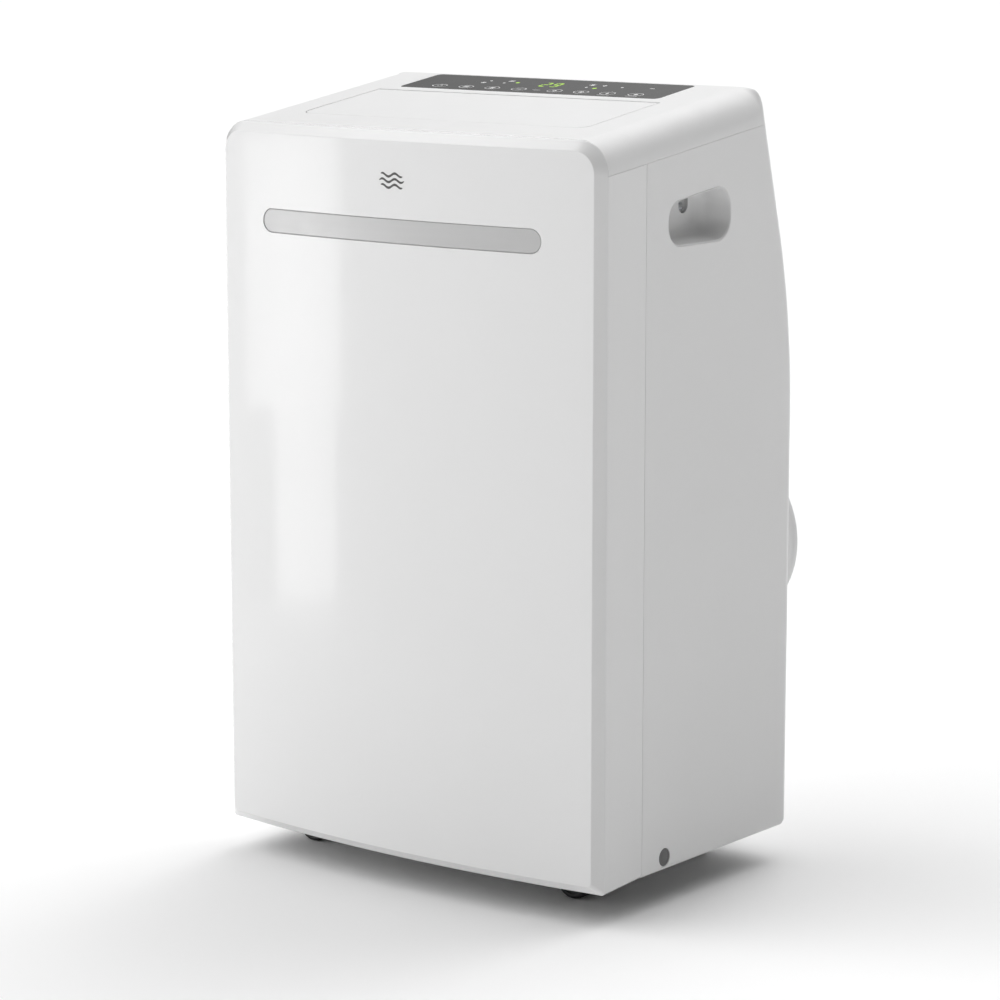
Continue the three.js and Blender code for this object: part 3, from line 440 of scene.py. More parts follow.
class Finish:
    """A node material built up from a Principled shader, kept in MATERIALS under its slot."""

    def __init__(self, slot, name, base, roughness, metallic=0.0, ior=1.5):
        self.material = bpy.data.materials.new(name)
        self.material.use_nodes = True
        MATERIALS[slot] = self.material
        self.tree = self.material.node_tree
        self.shader = self.tree.nodes["Principled BSDF"]
        self.base = colour(base)
        self.shader.inputs["Base Color"].default_value = self.base
        self.shader.inputs["Roughness"].default_value = roughness
        self.shader.inputs["Metallic"].default_value = metallic
        self.shader.inputs["IOR"].default_value = ior
        self.place = self.node("ShaderNodeTexCoord").outputs["Object"]
        self.height = None

    def node(self, kind, **settings):
        node = self.tree.nodes.new(kind)
        for key, value in settings.items():
            setattr(node, key, value)
        return node

    def link(self, output, target):
        self.tree.links.new(output, target)

    def noise(self, scale, detail=3.0, stretch=(1, 1, 1)):
        mapping = self.node("ShaderNodeMapping")
        mapping.inputs["Scale"].default_value = stretch
        self.link(self.place, mapping.inputs["Vector"])
        texture = self.node("ShaderNodeTexNoise")
        texture.inputs["Scale"].default_value = scale
        texture.inputs["Detail"].default_value = detail
        self.link(mapping.outputs["Vector"], texture.inputs["Vector"])
        return texture.outputs["Fac"]

    def range(self, value, low, high, source=(0.3, 0.7)):
        remap = self.node("ShaderNodeMapRange")
        remap.inputs["From Min"].default_value = source[0]
        remap.inputs["From Max"].default_value = source[1]
        remap.inputs["To Min"].default_value = low
        remap.inputs["To Max"].default_value = high
        self.link(value, remap.inputs["Value"])
        return remap.outputs["Result"]

    def vary_colour(self, scale, amount, tint=(1, 1, 1), stretch=(1, 1, 1)):
        """The base colour lightens and darkens by a share of itself."""
        mix = self.node("ShaderNodeMix", data_type="RGBA")
        low = [c * (1 - amount * t) for c, t in zip(self.base, tint)] + [1.0]
        high = [min(1.0, c * (1 + amount)) for c in self.base[:3]] + [1.0]
        mix.inputs[MIX_A].default_value = low
        mix.inputs[MIX_B].default_value = high
        share = self.range(self.noise(scale, 4.0, stretch), 0.0, 1.0)
        self.link(share, mix.inputs[MIX_SHARE])
        self.colour_out = mix.outputs[MIX_RESULT]
        self.link(self.colour_out, self.shader.inputs["Base Color"])
        return self

    def wear(self, shade, amount):
        """Edges rub lighter or darker, by how convex the surface is."""
        mix = self.node("ShaderNodeMix", data_type="RGBA")
        mix.inputs[MIX_B].default_value = colour(shade)
        pointiness = self.node("ShaderNodeNewGeometry").outputs["Pointiness"]
        broken = self.node("ShaderNodeMath", operation="MULTIPLY")
        self.link(self.range(pointiness, 0.0, amount, (0.52, 0.62)), broken.inputs[0])
        self.link(self.range(self.noise(120.0), 0.2, 1.0), broken.inputs[1])
        self.link(broken.outputs["Value"], mix.inputs[MIX_SHARE])
        self.link(self.colour_out, mix.inputs[MIX_A])
        self.colour_out = mix.outputs[MIX_RESULT]
        self.link(self.colour_out, self.shader.inputs["Base Color"])
        return self

    def vary_roughness(self, scale, low, high):
        self.link(self.range(self.noise(scale, 5.0), low, high), self.shader.inputs["Roughness"])
        return self

    def bump(self, value, depth):
        """Adds relief of a depth in millimetres where value is 1."""
        bump = self.node("ShaderNodeBump")
        bump.inputs["Strength"].default_value = 1.0
        bump.inputs["Distance"].default_value = depth * MM
        self.link(value, bump.inputs["Height"])
        if self.height is not None:
            self.link(self.height, bump.inputs["Normal"])
        self.height = bump.outputs["Normal"]
        self.link(self.height, self.shader.inputs["Normal"])
        return self

    def grain(self, scale, depth, stretch=(1, 1, 1), detail=4.0):
        return self.bump(self.noise(scale, detail, stretch), depth)

    def lines(self, pitch, depth, axis):
        """Fine parallel ridges square to an axis, as on a finned block or a woven mesh."""
        split = self.node("ShaderNodeSeparateXYZ")
        self.link(self.place, split.inputs["Vector"])
        scaled = self.node("ShaderNodeMath", operation="MULTIPLY")
        scaled.inputs[1].default_value = 2 * math.pi / (pitch * MM)
        self.link(split.outputs[axis], scaled.inputs[0])
        wave = self.node("ShaderNodeMath", operation="SINE")
        self.link(scaled.outputs["Value"], wave.inputs[0])
        return self.bump(self.range(wave.outputs["Value"], 0.0, 1.0, (-1, 1)), depth)


def make_materials():
    gloss = Finish("gloss_white", "gloss_white_abs", "E9E9E9", 0.10, ior=1.46)
    gloss.vary_colour(3.0, 0.006).vary_roughness(14.0, 0.07, 0.11)
    gloss.grain(9.0, 0.02, detail=1.0)

    satin = Finish("satin_white", "satin_white_abs", "E7E7E7", 0.42)
    satin.vary_colour(4.0, 0.008).wear("EFEFEF", 0.3).vary_roughness(60.0, 0.38, 0.48)
    satin.grain(1500.0, 0.012)

    # The grip cup is a copy of the satin white painted darker: painted shade for the deep recess of
    # the grip.
    cup = Finish("grip_cup", "grip_cup_shaded_white", "D8D8D8", 0.45)
    cup.vary_colour(4.0, 0.008).wear("E2E2E2", 0.3).vary_roughness(60.0, 0.4, 0.5)
    cup.grain(1500.0, 0.012)

    inner = Finish("inner_grey", "inner_grey_plastic", "B5B5B5", 0.55)
    inner.vary_colour(9.0, 0.03).wear("C8C8C6", 0.3).vary_roughness(40.0, 0.48, 0.62)
    inner.grain(700.0, 0.03)

    silver = Finish("silver_trim", "silver_trim_lacquer", "BBBBBB", 0.34, metallic=0.25)
    silver.vary_colour(240.0, 0.012, stretch=(0.03, 1, 1)).vary_roughness(90.0, 0.3, 0.38)
    silver.grain(2200.0, 0.006, stretch=(0.05, 1, 1))

    glass = Finish("dark_glass", "dark_control_glass", "2B2B2B", 0.18, ior=1.3)
    glass.vary_colour(6.0, 0.04).vary_roughness(30.0, 0.12, 0.2)
    glass.grain(25.0, 0.01, detail=1.0)

    ink = Finish("print", "panel_print_grey", "F4F4F4", 0.4)
    ink.vary_colour(300.0, 0.04).vary_roughness(200.0, 0.35, 0.45)

    glow = Finish("glow", "display_green", "A8D63A", 0.4)
    glow.vary_colour(500.0, 0.05)
    glow.shader.inputs["Emission Color"].default_value = colour("A6D838")
    glow.shader.inputs["Emission Strength"].default_value = 0.35

    grey = Finish("grey_plastic", "grey_plastic", "606060", 0.45)
    grey.vary_colour(30.0, 0.03).wear("7A7A7A", 0.3).vary_roughness(80.0, 0.4, 0.52)
    grey.grain(1100.0, 0.02)

    black = Finish("black_plastic", "black_plastic", "1A1A1B", 0.42)
    black.vary_colour(25.0, 0.12).wear("3A3A3B", 0.5).vary_roughness(60.0, 0.36, 0.52)
    black.grain(900.0, 0.03)

    rubber = Finish("black_rubber", "black_rubber", "101011", 0.75)
    rubber.vary_colour(40.0, 0.15).wear("2A2A2A", 0.5).vary_roughness(90.0, 0.66, 0.85)
    rubber.grain(500.0, 0.08)

    mesh = Finish("filter_mesh", "filter_mesh_nylon", "3A3C3E", 0.8)
    mesh.vary_colour(50.0, 0.15).vary_roughness(70.0, 0.7, 0.9)
    mesh.lines(1.1, 0.35, "X").lines(1.1, 0.35, "Z")

    board = Finish("circuit_board", "circuit_board", "1F5B35", 0.45)
    board.vary_colour(160.0, 0.2).vary_roughness(80.0, 0.35, 0.6).lines(2.5, 0.05, "X")

    steel = Finish("zinc_steel", "zinc_steel", "A3A6A8", 0.32, metallic=0.9)
    steel.vary_colour(60.0, 0.08, tint=(1.0, 0.9, 0.7)).wear("C9CBCC", 0.4)
    steel.vary_roughness(50.0, 0.24, 0.42).grain(300.0, 0.02)

    painted = Finish("painted_black", "painted_black_steel", "151617", 0.35, metallic=0.2)
    painted.vary_colour(20.0, 0.15).wear("4A4A4A", 0.6).vary_roughness(30.0, 0.28, 0.45)
    painted.grain(160.0, 0.06)

    fins = Finish("aluminium_fin", "aluminium_fins", "C4C7C9", 0.38, metallic=0.9)
    fins.vary_colour(40.0, 0.06).vary_roughness(80.0, 0.3, 0.5).lines(1.8, 0.9, "X")

    copper = Finish("copper_tube", "copper_tube", "B3683C", 0.28, metallic=0.95)
    copper.vary_colour(30.0, 0.12, tint=(0.6, 1.0, 1.0)).wear("D89468", 0.4)
    copper.vary_roughness(60.0, 0.22, 0.4).grain(200.0, 0.01)

    badge = Finish("badge", "badge_grey", "4B4B4A", 0.3, metallic=0.3)
    badge.vary_colour(200.0, 0.05).vary_roughness(120.0, 0.25, 0.38)


make_materials()

# ---------------------------------------------------------------- stage, light and camera


def make_stage():
    floor_finish = Finish("studio_floor", "studio_floor", "F7F7F7", 0.9)
    floor_finish.vary_colour(0.6, 0.004).vary_roughness(3.0, 0.85, 0.95)
    floor_finish.shader.inputs["Specular IOR Level"].default_value = 0.1
    reach = 60000.0
    bm = bmesh.new()
    loft(bm, [[(-reach, -reach, 0), (reach, -reach, 0)], [(-reach, reach, 0), (reach, reach, 0)]],
         closed=False)
    floor = object_from("studio_floor", bm, floor_finish.material)


def make_world(lobes):
    """A plain studio sky: soft bright regions, each with a direction, radiance and tightness."""
    world = bpy.data.worlds.new("studio")
    world.use_nodes = True
    nodes, links = world.node_tree.nodes, world.node_tree.links
    background = nodes["Background"]
    background.inputs["Color"].default_value = (1.0, 1.0, 1.0, 1.0)
    toward = nodes.new("ShaderNodeTexCoord").outputs["Generated"]

    def step(kind, operation, source, value):
        node = nodes.new(kind)
        node.operation = operation
        links.new(source, node.inputs[0])
        node.inputs[1].default_value = value
        return node

    total = None
    for direction, radiance, tightness in lobes:
        along = step("ShaderNodeVectorMath", "DOT_PRODUCT", toward,
                     Vector(direction).normalized())
        ahead = step("ShaderNodeMath", "MAXIMUM", along.outputs["Value"], 0.0)
        power = step("ShaderNodeMath", "POWER", ahead.outputs["Value"], tightness)
        scaled = step("ShaderNodeMath", "MULTIPLY_ADD", power.outputs["Value"], radiance)
        scaled.inputs[2].default_value = 0.0
        if total is not None:
            links.new(total, scaled.inputs[2])
        total = scaled.outputs["Value"]
    links.new(total, background.inputs["Strength"])
    bpy.context.scene.world = world


def softbox(name, centre, target, width, height, radiance):
    """A flat lamp of a size and brightness, turned towards a target."""
    lamp = bpy.data.lights.new(name, "AREA")
    lamp.shape = "RECTANGLE"
    lamp.size = width
    lamp.size_y = height
    lamp.energy = radiance * math.pi * width * height
    obj = bpy.data.objects.new(name, lamp)
    obj.location = centre
    aim = Vector(target) - Vector(centre)
    obj.rotation_euler = aim.to_track_quat("-Z", "Y").to_euler()
    obj.visible_camera = False
    bpy.context.scene.collection.objects.link(obj)


def make_lights():
    make_world([
        ((0.0, 1.0, 1.3), 3.35, 8.0),
        ((-0.6, -0.18, 0.78), 2.0, 50.0),
        ((-0.87, -0.5, 1.3), 1.6, 8.0),
        ((0.0, 1.0, 0.35), 0.76, 4.0),
        ((-0.7, -0.7, 0.35), 1.4, 4.0),
    ])
    # Two screens that stand on the floor at the front left, seen as a window in the gloss face.
    stand = Vector((-0.91, -1.13, 0.0))
    along = Vector((0.788, -0.616, 0.0))
    toward = Vector((0.616, 0.788, 0.0))
    for name, u0, u1, z0, z1, radiance in (
            ("window_wide", -0.40, -0.07, 0.26, 0.62, 1.9),
            ("window_tall", -0.30, -0.09, 0.005, 0.63, 2.2)):
        centre = stand + along * (u0 + u1) / 2 + Vector((0, 0, (z0 + z1) / 2))
        softbox(name, centre, centre + toward, u1 - u0, z1 - z0, radiance)


def make_camera():
    camera_data = bpy.data.cameras.new("camera")
    camera_data.lens = 124.71
    camera_data.sensor_width = 36.0
    camera_data.clip_end = 200.0
    camera = bpy.data.objects.new("camera", camera_data)
    azimuth, elevation = math.radians(38.04), math.radians(10.25)
    forward = Vector((-math.sin(azimuth) * math.cos(elevation),
                      math.cos(azimuth) * math.cos(elevation), -math.sin(elevation)))
    camera.location = (2.0486, -2.6538, 0.9582)
    camera.rotation_euler = forward.to_track_quat("-Z", "Y").to_euler()
    bpy.context.scene.collection.objects.link(camera)
    bpy.context.scene.camera = camera


make_camera()
make_stage()
make_lights()
bpy.context.scene.view_settings.view_transform = "Standard"

# ---------------------------------------------------------------- front casing

# The front casing and the top cover meet at the heel of the chamfer.
LIP_Y = bow(HALF_WIDTH - CHAMFER) + CHAMFER + 0.3
COVER_Y = LIP_Y + 0.08


def framed_outline(inset):
    """Front outline in (X, Z) at an inset from the silhouette, with a point at the side's joint."""
    x1 = HALF_WIDTH - inset
    z0, z1 = SHELL_BOTTOM_Z + inset, SHELL_TOP_Z - inset
    top = TOP_EDGE_RADIUS - inset
    joint = SEAM_FRONT_Z - TOP_SEAM
    low = LOW_CORNER_RADIUS
    right = (line((x1, z0 + low), (x1, joint), SIDE_STEPS) + [(x1, joint)]
             + line((x1, joint + 0.2), (x1, z1 - top), JOINT_STEPS)
             + arc(x1 - top, z1 - top, top, 0, 90, TOP_STEPS)[:-1])
    left = [(-x, z) for x, z in reversed(right[1:] + [(x1 - top, z1)])]
    return (line((low - x1, z0), (x1 - low, z0), ACROSS_STEPS)
            + arc(x1 - low, z0 + low, low, -90, 0, LOW_STEPS)[:-1] + right
            + line((x1 - top, z1), (top - x1, z1), ACROSS_STEPS) + left
            + arc(low - x1, z0 + low, low, 180, 270, LOW_STEPS)[:-1])


def slot_outline(inset):
    """The trim strip's outline with as many points as the front outline has."""
    radius = STRIP["radius"] - inset
    reach, z = STRIP["reach"], STRIP["z"]
    side = LOW_STEPS + SIDE_STEPS + 1 + JOINT_STEPS + TOP_STEPS
    return (line((-reach, z - radius), (reach, z - radius), ACROSS_STEPS)
            + arc(reach, z, radius, -90, 90, side)[:-1]
            + line((reach, z + radius), (-reach, z + radius), ACROSS_STEPS)
            + arc(-reach, z, radius, 90, 270, side)[:-1])


def on_bow(outline, back):
    edge = HALF_WIDTH - CHAMFER
    return [Vector((x, bow(min(abs(x), edge)) + back, z)) for x, z in outline]


def chamfer_profile(heel_radius):
    """(inset, set-back) points from the face over the chamfer to the side."""
    face, heel = (CHAMFER, 0.0), (0.0, CHAMFER)
    return (fillet(face, (2 * CHAMFER, 0.0), heel, 1.2)
            + fillet(heel, face, (0.0, 2 * CHAMFER), heel_radius, 5))


def make_front_casing():
    profile = chamfer_profile(2.5)
    tight = chamfer_profile(0.3)
    rim = profile[0][0] + 1.0
    outer = framed_outline(rim)
    slot = slot_outline(-SEAM - 0.8)
    bm = bmesh.new()

    # The recess floor, its wall and its rounded rim, then the face spreading to its outline.
    depth = STRIP["depth"]
    recess = [(STRIP["radius"], depth), (6.0, depth), (1.0, depth), (-SEAM, depth),
              (-SEAM, 0.9), (-SEAM, 0.5), (-SEAM - 0.12, 0.16), (-SEAM - 0.4, 0.0)]
    rings = [on_bow(slot_outline(inset), back) for inset, back in recess]
    steps = 26
    for step in range(steps + 1):
        share = step / steps
        mixed = [(a[0] + (b[0] - a[0]) * share, a[1] + (b[1] - a[1]) * share)
                 for a, b in zip(slot, outer)]
        rings.append(on_bow(mixed, 0.0))
    joint = SEAM_FRONT_Z - TOP_SEAM
    for (inset, back), (tight_inset, tight_back) in zip(profile, tight):
        ring = on_bow(framed_outline(inset), back)
        upper = on_bow(framed_outline(tight_inset), tight_back)
        rings.append([q if q.z > joint + 0.01 else p for p, q in zip(ring, upper)])
    loft(bm, rings)
    last = rings[-1]

    # The flat lip of the top and of the underside, and the two side returns.
    top = [p for p in last if p.z > joint + 0.01]
    loft(bm, [top, [Vector((p.x, LIP_Y, p.z)) for p in top]], closed=False)
    right = last[ACROSS_STEPS:ACROSS_STEPS + LOW_STEPS + SIDE_STEPS + 1]
    rise = SIDE_BOTTOM_Z - SHELL_BOTTOM_Z
    edge_y = right[0].y
    bottom = [[Vector((p.x, p.y + (RETURN_Y - edge_y) * j / RETURN_STEPS,
                       p.z + rise * j / RETURN_STEPS))
               for p in last[:ACROSS_STEPS + 1]] for j in range(LIP_STEPS + 1)]
    loft(bm, bottom, closed=False)
    columns = []
    low_z = SHELL_BOTTOM_Z + LOW_CORNER_RADIUS
    for j in range(RETURN_STEPS + 1):
        column = []
        for p in right:
            y = p.y + (RETURN_Y - p.y) * j / RETURN_STEPS
            ceiling = seam_z(y) - TOP_SEAM
            z = p.z + rise * j / RETURN_STEPS
            if p.z > low_z:
                start = low_z + rise * j / RETURN_STEPS
                z = start + (p.z - low_z) * (ceiling - start) / (joint - low_z)
            column.append(Vector((p.x, y, z)))
        columns.append(column)
    loft(bm, columns, closed=False)
    loft(bm, [[Vector((-p.x, p.y, p.z)) for p in column] for column in columns], closed=False)
    obj = shell("front_casing", bm, MATERIALS["gloss_white"], (0, 0, 380), FRONT_WALL, 0.12)
    return place(obj, "casing", "gloss_white", "front_panel")


def make_trim_strip():
    profile = [(STRIP["radius"], 0.5), (8.0, 0.5), (4.0, 0.5), (1.2, 0.5), (0.5, 0.52),
               (0.15, 0.66), (0.0, 0.95), (0.0, 1.7), (6.0, 1.7), (STRIP["radius"], 1.7)]
    bm = bmesh.new()
    loft(bm, [on_bow(slot_outline(inset), back) for inset, back in profile])
    weld(bm)
    obj = finish_edges(object_from("trim_strip", bm, MATERIALS["silver_trim"]), 0)
    return place(obj, "casing", "silver_trim", "front_strip")


def make_badge():
    """A plain mark of three waves of air above the trim strip."""
    middle_z, pitch, longest = 679.5, 5.2, 15.0
    waves = []
    for row in range(3):
        z = middle_z + pitch * (row - 1)
        reach = longest - 2.0 * abs(row - 1)
        rings = []
        for i in range(41):
            x = reach * (i / 40 * 2 - 1)
            taper = 1.15 * math.sqrt(max(0.02, 1 - (abs(x) / reach) ** 6))
            rise = 1.5 * math.sin(x * math.pi / 7.5)
            section = [(-taper, 0.0), (-taper, -0.08), (-taper * 0.8, -0.13),
                       (taper * 0.8, -0.13), (taper, -0.08), (taper, 0.0)]
            rings.append([Vector((x, bow(x) + back, z + rise + up)) for up, back in section])
        waves.append(capped(f"wave_{row}", rings))
    obj = joined("air_wave_badge", waves, MATERIALS["badge"])
    return place(obj, "casing", "grey_plastic")


# ---------------------------------------------------------------- top cover


def rear_y(z):
    return REAR_Y - rear_lean(z)


def top_ring(share, columns=16, corner=8, across=24):
    """The top cover's edge at a share of its rounding, from the right front round to the left."""
    # A height on the straight upper part of the back, and a Y close to its corner.
    back_at, near_back = 700.0, 70.0
    lean = math.atan(rear_lean(back_at + 1.0) - rear_lean(back_at))
    theta = math.radians(90 * share)
    turn = lean + (math.pi / 2 + TOP_SLOPE - lean) * share
    roll = REAR_TOP_RADIUS
    # Centre of the rear rounding: it touches both the leaning back and the sloping roof.
    normal_back = Vector((math.cos(lean), math.sin(lean)))
    normal_roof = Vector((-math.sin(TOP_SLOPE), math.cos(TOP_SLOPE)))
    reach_back = normal_back.dot(Vector((rear_y(back_at), back_at))) - roll
    reach_roof = normal_roof.dot(Vector((TOP_FRONT_Y, SHELL_TOP_Z))) - roll
    det = normal_back.x * normal_roof.y - normal_back.y * normal_roof.x
    cy = (reach_back * normal_roof.y - normal_back.y * reach_roof) / det
    cz = (normal_back.x * reach_roof - reach_back * normal_roof.x) / det
    rear_z = cz + roll * math.sin(turn)
    rear_point_y = cy + roll * math.cos(turn)
    first_z = cz + roll * math.sin(lean)
    tuck = rear_y(first_z) - rear_point_y
    radius = REAR_CORNER_RADIUS + (ROOF_CORNER_RADIUS - REAR_CORNER_RADIUS) * share
    xs = HALF_WIDTH - TOP_EDGE_RADIUS * (1 - math.cos(theta))
    drop = TOP_EDGE_RADIUS * (1 - math.sin(theta)) / math.cos(TOP_SLOPE)
    rear_drop = roof_z(rear_point_y) - rear_z

    def side_z(y):
        return roof_z(y) - drop

    corner_y = rear_y(side_z(near_back)) - tuck - radius
    half = [Vector((xs, y, side_z(y))) for (y,) in line((COVER_Y,), (corner_y,), columns)]
    for i in range(corner + 1):
        psi = math.pi / 2 * i / corner
        blend = math.sin(psi) ** 2
        y = corner_y
        for _ in range(4):
            z = roof_z(y) - drop * (1 - blend) - rear_drop * blend
            base = rear_y(z) if share == 0 else rear_y(first_z * blend + side_z(y) * (1 - blend))
            y = base - tuck - radius * (1 - math.sin(psi))
        if i == corner:
            y, z = rear_point_y, rear_z
        half.append(Vector((xs - radius * (1 - math.cos(psi)), y, z)))
    edge = half[-1]
    middle_points = [Vector((edge.x * (1 - 2 * i / across), edge.y, edge.z))
                     for i in range(1, across)]
    return half + middle_points + [Vector((-p.x, p.y, p.z)) for p in reversed(half)]


def seam_ring(ring):
    """The same edge followed down the wall to the joint line."""
    points = []
    for p in ring:
        y = p.y
        for _ in range(6):
            z = seam_z(y)
            y = p.y if p.y < 40 else p.y + rear_lean(p.z) - rear_lean(z)
        points.append(Vector((p.x, y, z)))
    return points


def crease_line(shift, depth):
    """A shallow arc across the top in front of the flap, from one front corner to the other."""
    middle_y, fall, reach = -143.0 + shift, 27.0, 165.0
    end = reach * math.sqrt((middle_y - COVER_Y) / fall)
    points = []
    for i in range(65):
        x = end * (1 - i / 32)
        y = middle_y - fall * (x / reach) ** 2
        points.append(on_top(x, (y - TOP_FRONT_Y) / math.cos(TOP_SLOPE), -depth))
    return points


def make_top_cover():
    bm = bmesh.new()
    steps = 14
    rings = [top_ring(i / steps) for i in range(steps + 1)]
    low = seam_ring(rings[0])
    wall = [[a.lerp(b, share) for a, b in zip(low, rings[0])] for share in (0.0, 0.06, 0.5)]
    loft(bm, wall + rings, closed=False)
    rim = rings[-1]

    # The flat of the top, split by the crease, with the openings for flap and controls.
    groove = [crease_line(0.3, 0.0), crease_line(0.0, 0.16), crease_line(-0.3, 0.0)]
    loft(bm, groove, closed=False)
    radius = FLAP_GAP["radius"]
    reach = FLAP["half_width"] + FLAP_GAP["side"]
    front, rear = FLAP["v0"] - FLAP_GAP["front"] + radius, FLAP["v1"] + FLAP_GAP["rear"]
    opening = (arc(reach - radius, front, radius, -90, 0, 8) + [(reach, rear), (-reach, rear)]
               + arc(radius - reach, front, radius, 180, 270, 8))
    gap = 0.25
    window = rounded_rect(-CONTROLS["half_width"] - gap, CONTROLS["half_width"] + gap,
                          CONTROLS["v0"] - gap, CONTROLS["v1"] + gap, CONTROLS["radius"] + gap)
    fill(bm, rim + list(reversed(groove[0])), [on_top(x, v) for x, v in opening],
         [on_top(x, v) for x, v in window])
    fill(bm, groove[2])
    obj = shell("top_cover_shell", bm, MATERIALS["satin_white"], (0, 0, 600), TOP_WALL, 0.15)
    return place(obj, "casing", "satin_white", "top_cover")


# ---------------------------------------------------------------- side panels and handles


def make_side(side, sign):
    """A flat side with its grip hole and plug hole, a round rear corner and a rear flange."""
    bm = bmesh.new()
    front = RETURN_Y + SEAM
    roll = REAR_CORNER_RADIUS
    turn_steps, wall_steps = 6, 56

    def edge_column(psi):
        """The rear corner's rows at an angle in plan, from the turned-in bottom edge upwards."""
        turn = LOW_EDGE_RADIUS + (REAR_LOW_RADIUS - LOW_EDGE_RADIUS) * math.sin(psi)
        plan_y = REAR_Y - roll + roll * math.sin(psi)
        ceiling = 700.0
        for _ in range(8):
            ceiling = seam_z(plan_y - rear_lean(ceiling)) - TOP_SEAM
        angles = [math.pi / 2 * (1 - i / turn_steps) for i in range(turn_steps)]
        rows = [(turn * (1 - math.cos(a)), SIDE_BOTTOM_Z + turn * (1 - math.sin(a)))
                for a in angles]
        start = SIDE_BOTTOM_Z + turn
        rows += [(0.0, start + (ceiling - start) * i / wall_steps) for i in range(wall_steps + 1)]
        return [Vector((HALF_WIDTH - roll + (roll - inward) * math.cos(psi),
                        REAR_Y - roll + (roll - inward) * math.sin(psi) - rear_lean(z), z))
                for inward, z in rows]

    columns = [edge_column(math.pi / 2 * k / 10) for k in range(11)]
    flange = [Vector((REAR_FLANGE_X, p.y, p.z)) for p in columns[-1]]
    loft(bm, columns + [flange], closed=False)

    # The bottom edge turns in along the flat side, on the same radius as the front casing's.
    low = columns[0][:turn_steps + 1]
    loft(bm, [[Vector((p.x, front, p.z)) for p in low], low], closed=False)
    rear_edge = columns[0][turn_steps:]
    outline = ([Vector((HALF_WIDTH, front, rear_edge[0].z))] + rear_edge
               + [Vector((HALF_WIDTH, front, seam_z(front) - TOP_SEAM))])
    grip = [Vector((HALF_WIDTH, y, z)) for y, z in grip_outline(rounded_in=-0.3)]
    plug_y, plug_z = middle("right_side_plug", 1), middle("right_side_plug", 2)
    plug = [Vector((HALF_WIDTH, y, z)) for y, z in circle(plug_y, plug_z, PLUG_RADIUS + 0.3, 40)]
    fill(bm, outline, grip, plug)
    mirror(bm, sign)
    obj = shell(f"{side}_side_shell", bm, MATERIALS["satin_white"], (0, 0, 380), WALL, 0.35)
    return place(obj, "casing", "satin_white", f"{side}_side_panel")


def make_grip(side, sign):
    """The drafted cup of a hand grip, with the slot over its screw."""
    outer_x = HALF_WIDTH - 0.2
    bm = bmesh.new()
    rings = []

    def ring(depth, rounded_in):
        outline = grip_outline(depth / GRIP["depth"], rounded_in)
        rings.append([Vector((outer_x - depth, y, z)) for y, z in outline])

    lip = GRIP_RADIUS["lip"]
    for i in range(5):
        angle = math.pi / 2 * i / 4
        ring(lip * (1 - math.cos(angle)), lip * math.sin(angle))
    floor_radius = GRIP_RADIUS["floor"]
    for i in range(11):
        angle = math.pi / 2 * i / 10
        ring(GRIP["depth"] - floor_radius * (1 - math.sin(angle)),
             lip + floor_radius * (1 - math.cos(angle)))
    loft(bm, rings)
    fill(bm, rings[-1])
    mirror(bm, sign)
    behind = (-2000.0 * sign, SCREW["y"], SCREW["z"])
    cup = shell(f"{side}_grip_cup", bm, MATERIALS["grip_cup"], behind, 1.6, 0.0)

    def slab(name, grow, near, far):
        y, z, radius = SCREW_SLOT["y"], SCREW_SLOT["z"], SCREW_SLOT["radius"] + grow
        top = SCREW_SLOT["top"] + grow
        outline = arc(y, z, radius, 180, 360, 20) + [(y + radius, top), (y - radius, top)]
        ends = sorted((sign * (outer_x - near), sign * (outer_x - far)))
        return prism(name, outline, "x", *ends, MATERIALS["inner_grey"])

    carve(cup, slab("cutter", 0.0, 16.0, 32.0))
    finish_edges(cup, 0.25)
    place(cup, "casing", "satin_white", f"{side}_handle_pocket")
    well = carve(slab(f"{side}_screw_well", 1.4, 26.4, 31.0), slab("cutter", -0.1, 20.0, 29.5))
    finish_edges(well, 0.2)
    return place(well, "casing", "inner_grey")


def make_screw(side, sign):
    low, high = corners(f"{side}_handle_screw")
    face = high[0] if sign > 0 else -low[0]
    shaft_end = low[0] if sign > 0 else -high[0]
    head = turned(f"{side}_grip_screw", [
        (0.0, face), (2.6, face - 0.15), (4.2, face - 0.9), (5.0, face - 2.2), (5.0, face - 3.0),
        (2.0, face - 3.0), (2.0, shaft_end + 1.5), (0.9, shaft_end), (0.0, shaft_end),
    ], "x", (0, SCREW["y"], SCREW["z"]), MATERIALS["zinc_steel"], 40)
    y, z = SCREW["y"], SCREW["z"]
    for reach_y, reach_z in ((0.55, 2.6), (2.6, 0.55)):
        carve(head, box("cutter", face - 1.6, face + 1.0, y - reach_y, y + reach_y,
                        z - reach_z, z + reach_z))
    return place(mirrored(head, sign), "casing", "zinc_steel", f"{side}_handle_screw")


def make_plug(side, sign):
    node = f"{side}_side_plug"
    low, high = corners(node)
    face = max(abs(low[0]), abs(high[0]))
    back = min(abs(low[0]), abs(high[0]))
    centre = (0, middle(node, 1), middle(node, 2))
    plug = turned(f"{side}_foot_plug", [
        (0.0, face), (5.4, face), (5.7, face - 0.25), (6.1, face - 0.25), (6.4, face),
        (7.9, face), (8.35, face - 0.2), (8.5, face - 0.6), (8.5, back), (0.0, back),
    ], "x", centre, MATERIALS["grey_plastic"], 56)
    return place(mirrored(plug, sign), "casing", "grey_plastic", node)


# ---------------------------------------------------------------- controls and flap


def printed(name, outlines, material="print", lift=0.03):
    """Flat printed marks on the control glass, from outlines in the top's own frame."""
    bm = bmesh.new()
    for outline in outlines:
        ring = [on_top(x, v, lift) for x, v in outline]
        bm.faces.new([bm.verts.new(p) for p in ring])
    bmesh.ops.recalc_face_normals(bm, faces=bm.faces)
    for face in bm.faces:
        if face.normal.z < 0:
            face.normal_flip()
    obj = object_from(name, bm, MATERIALS[material])
    return place(obj, "casing", "dark_glass")


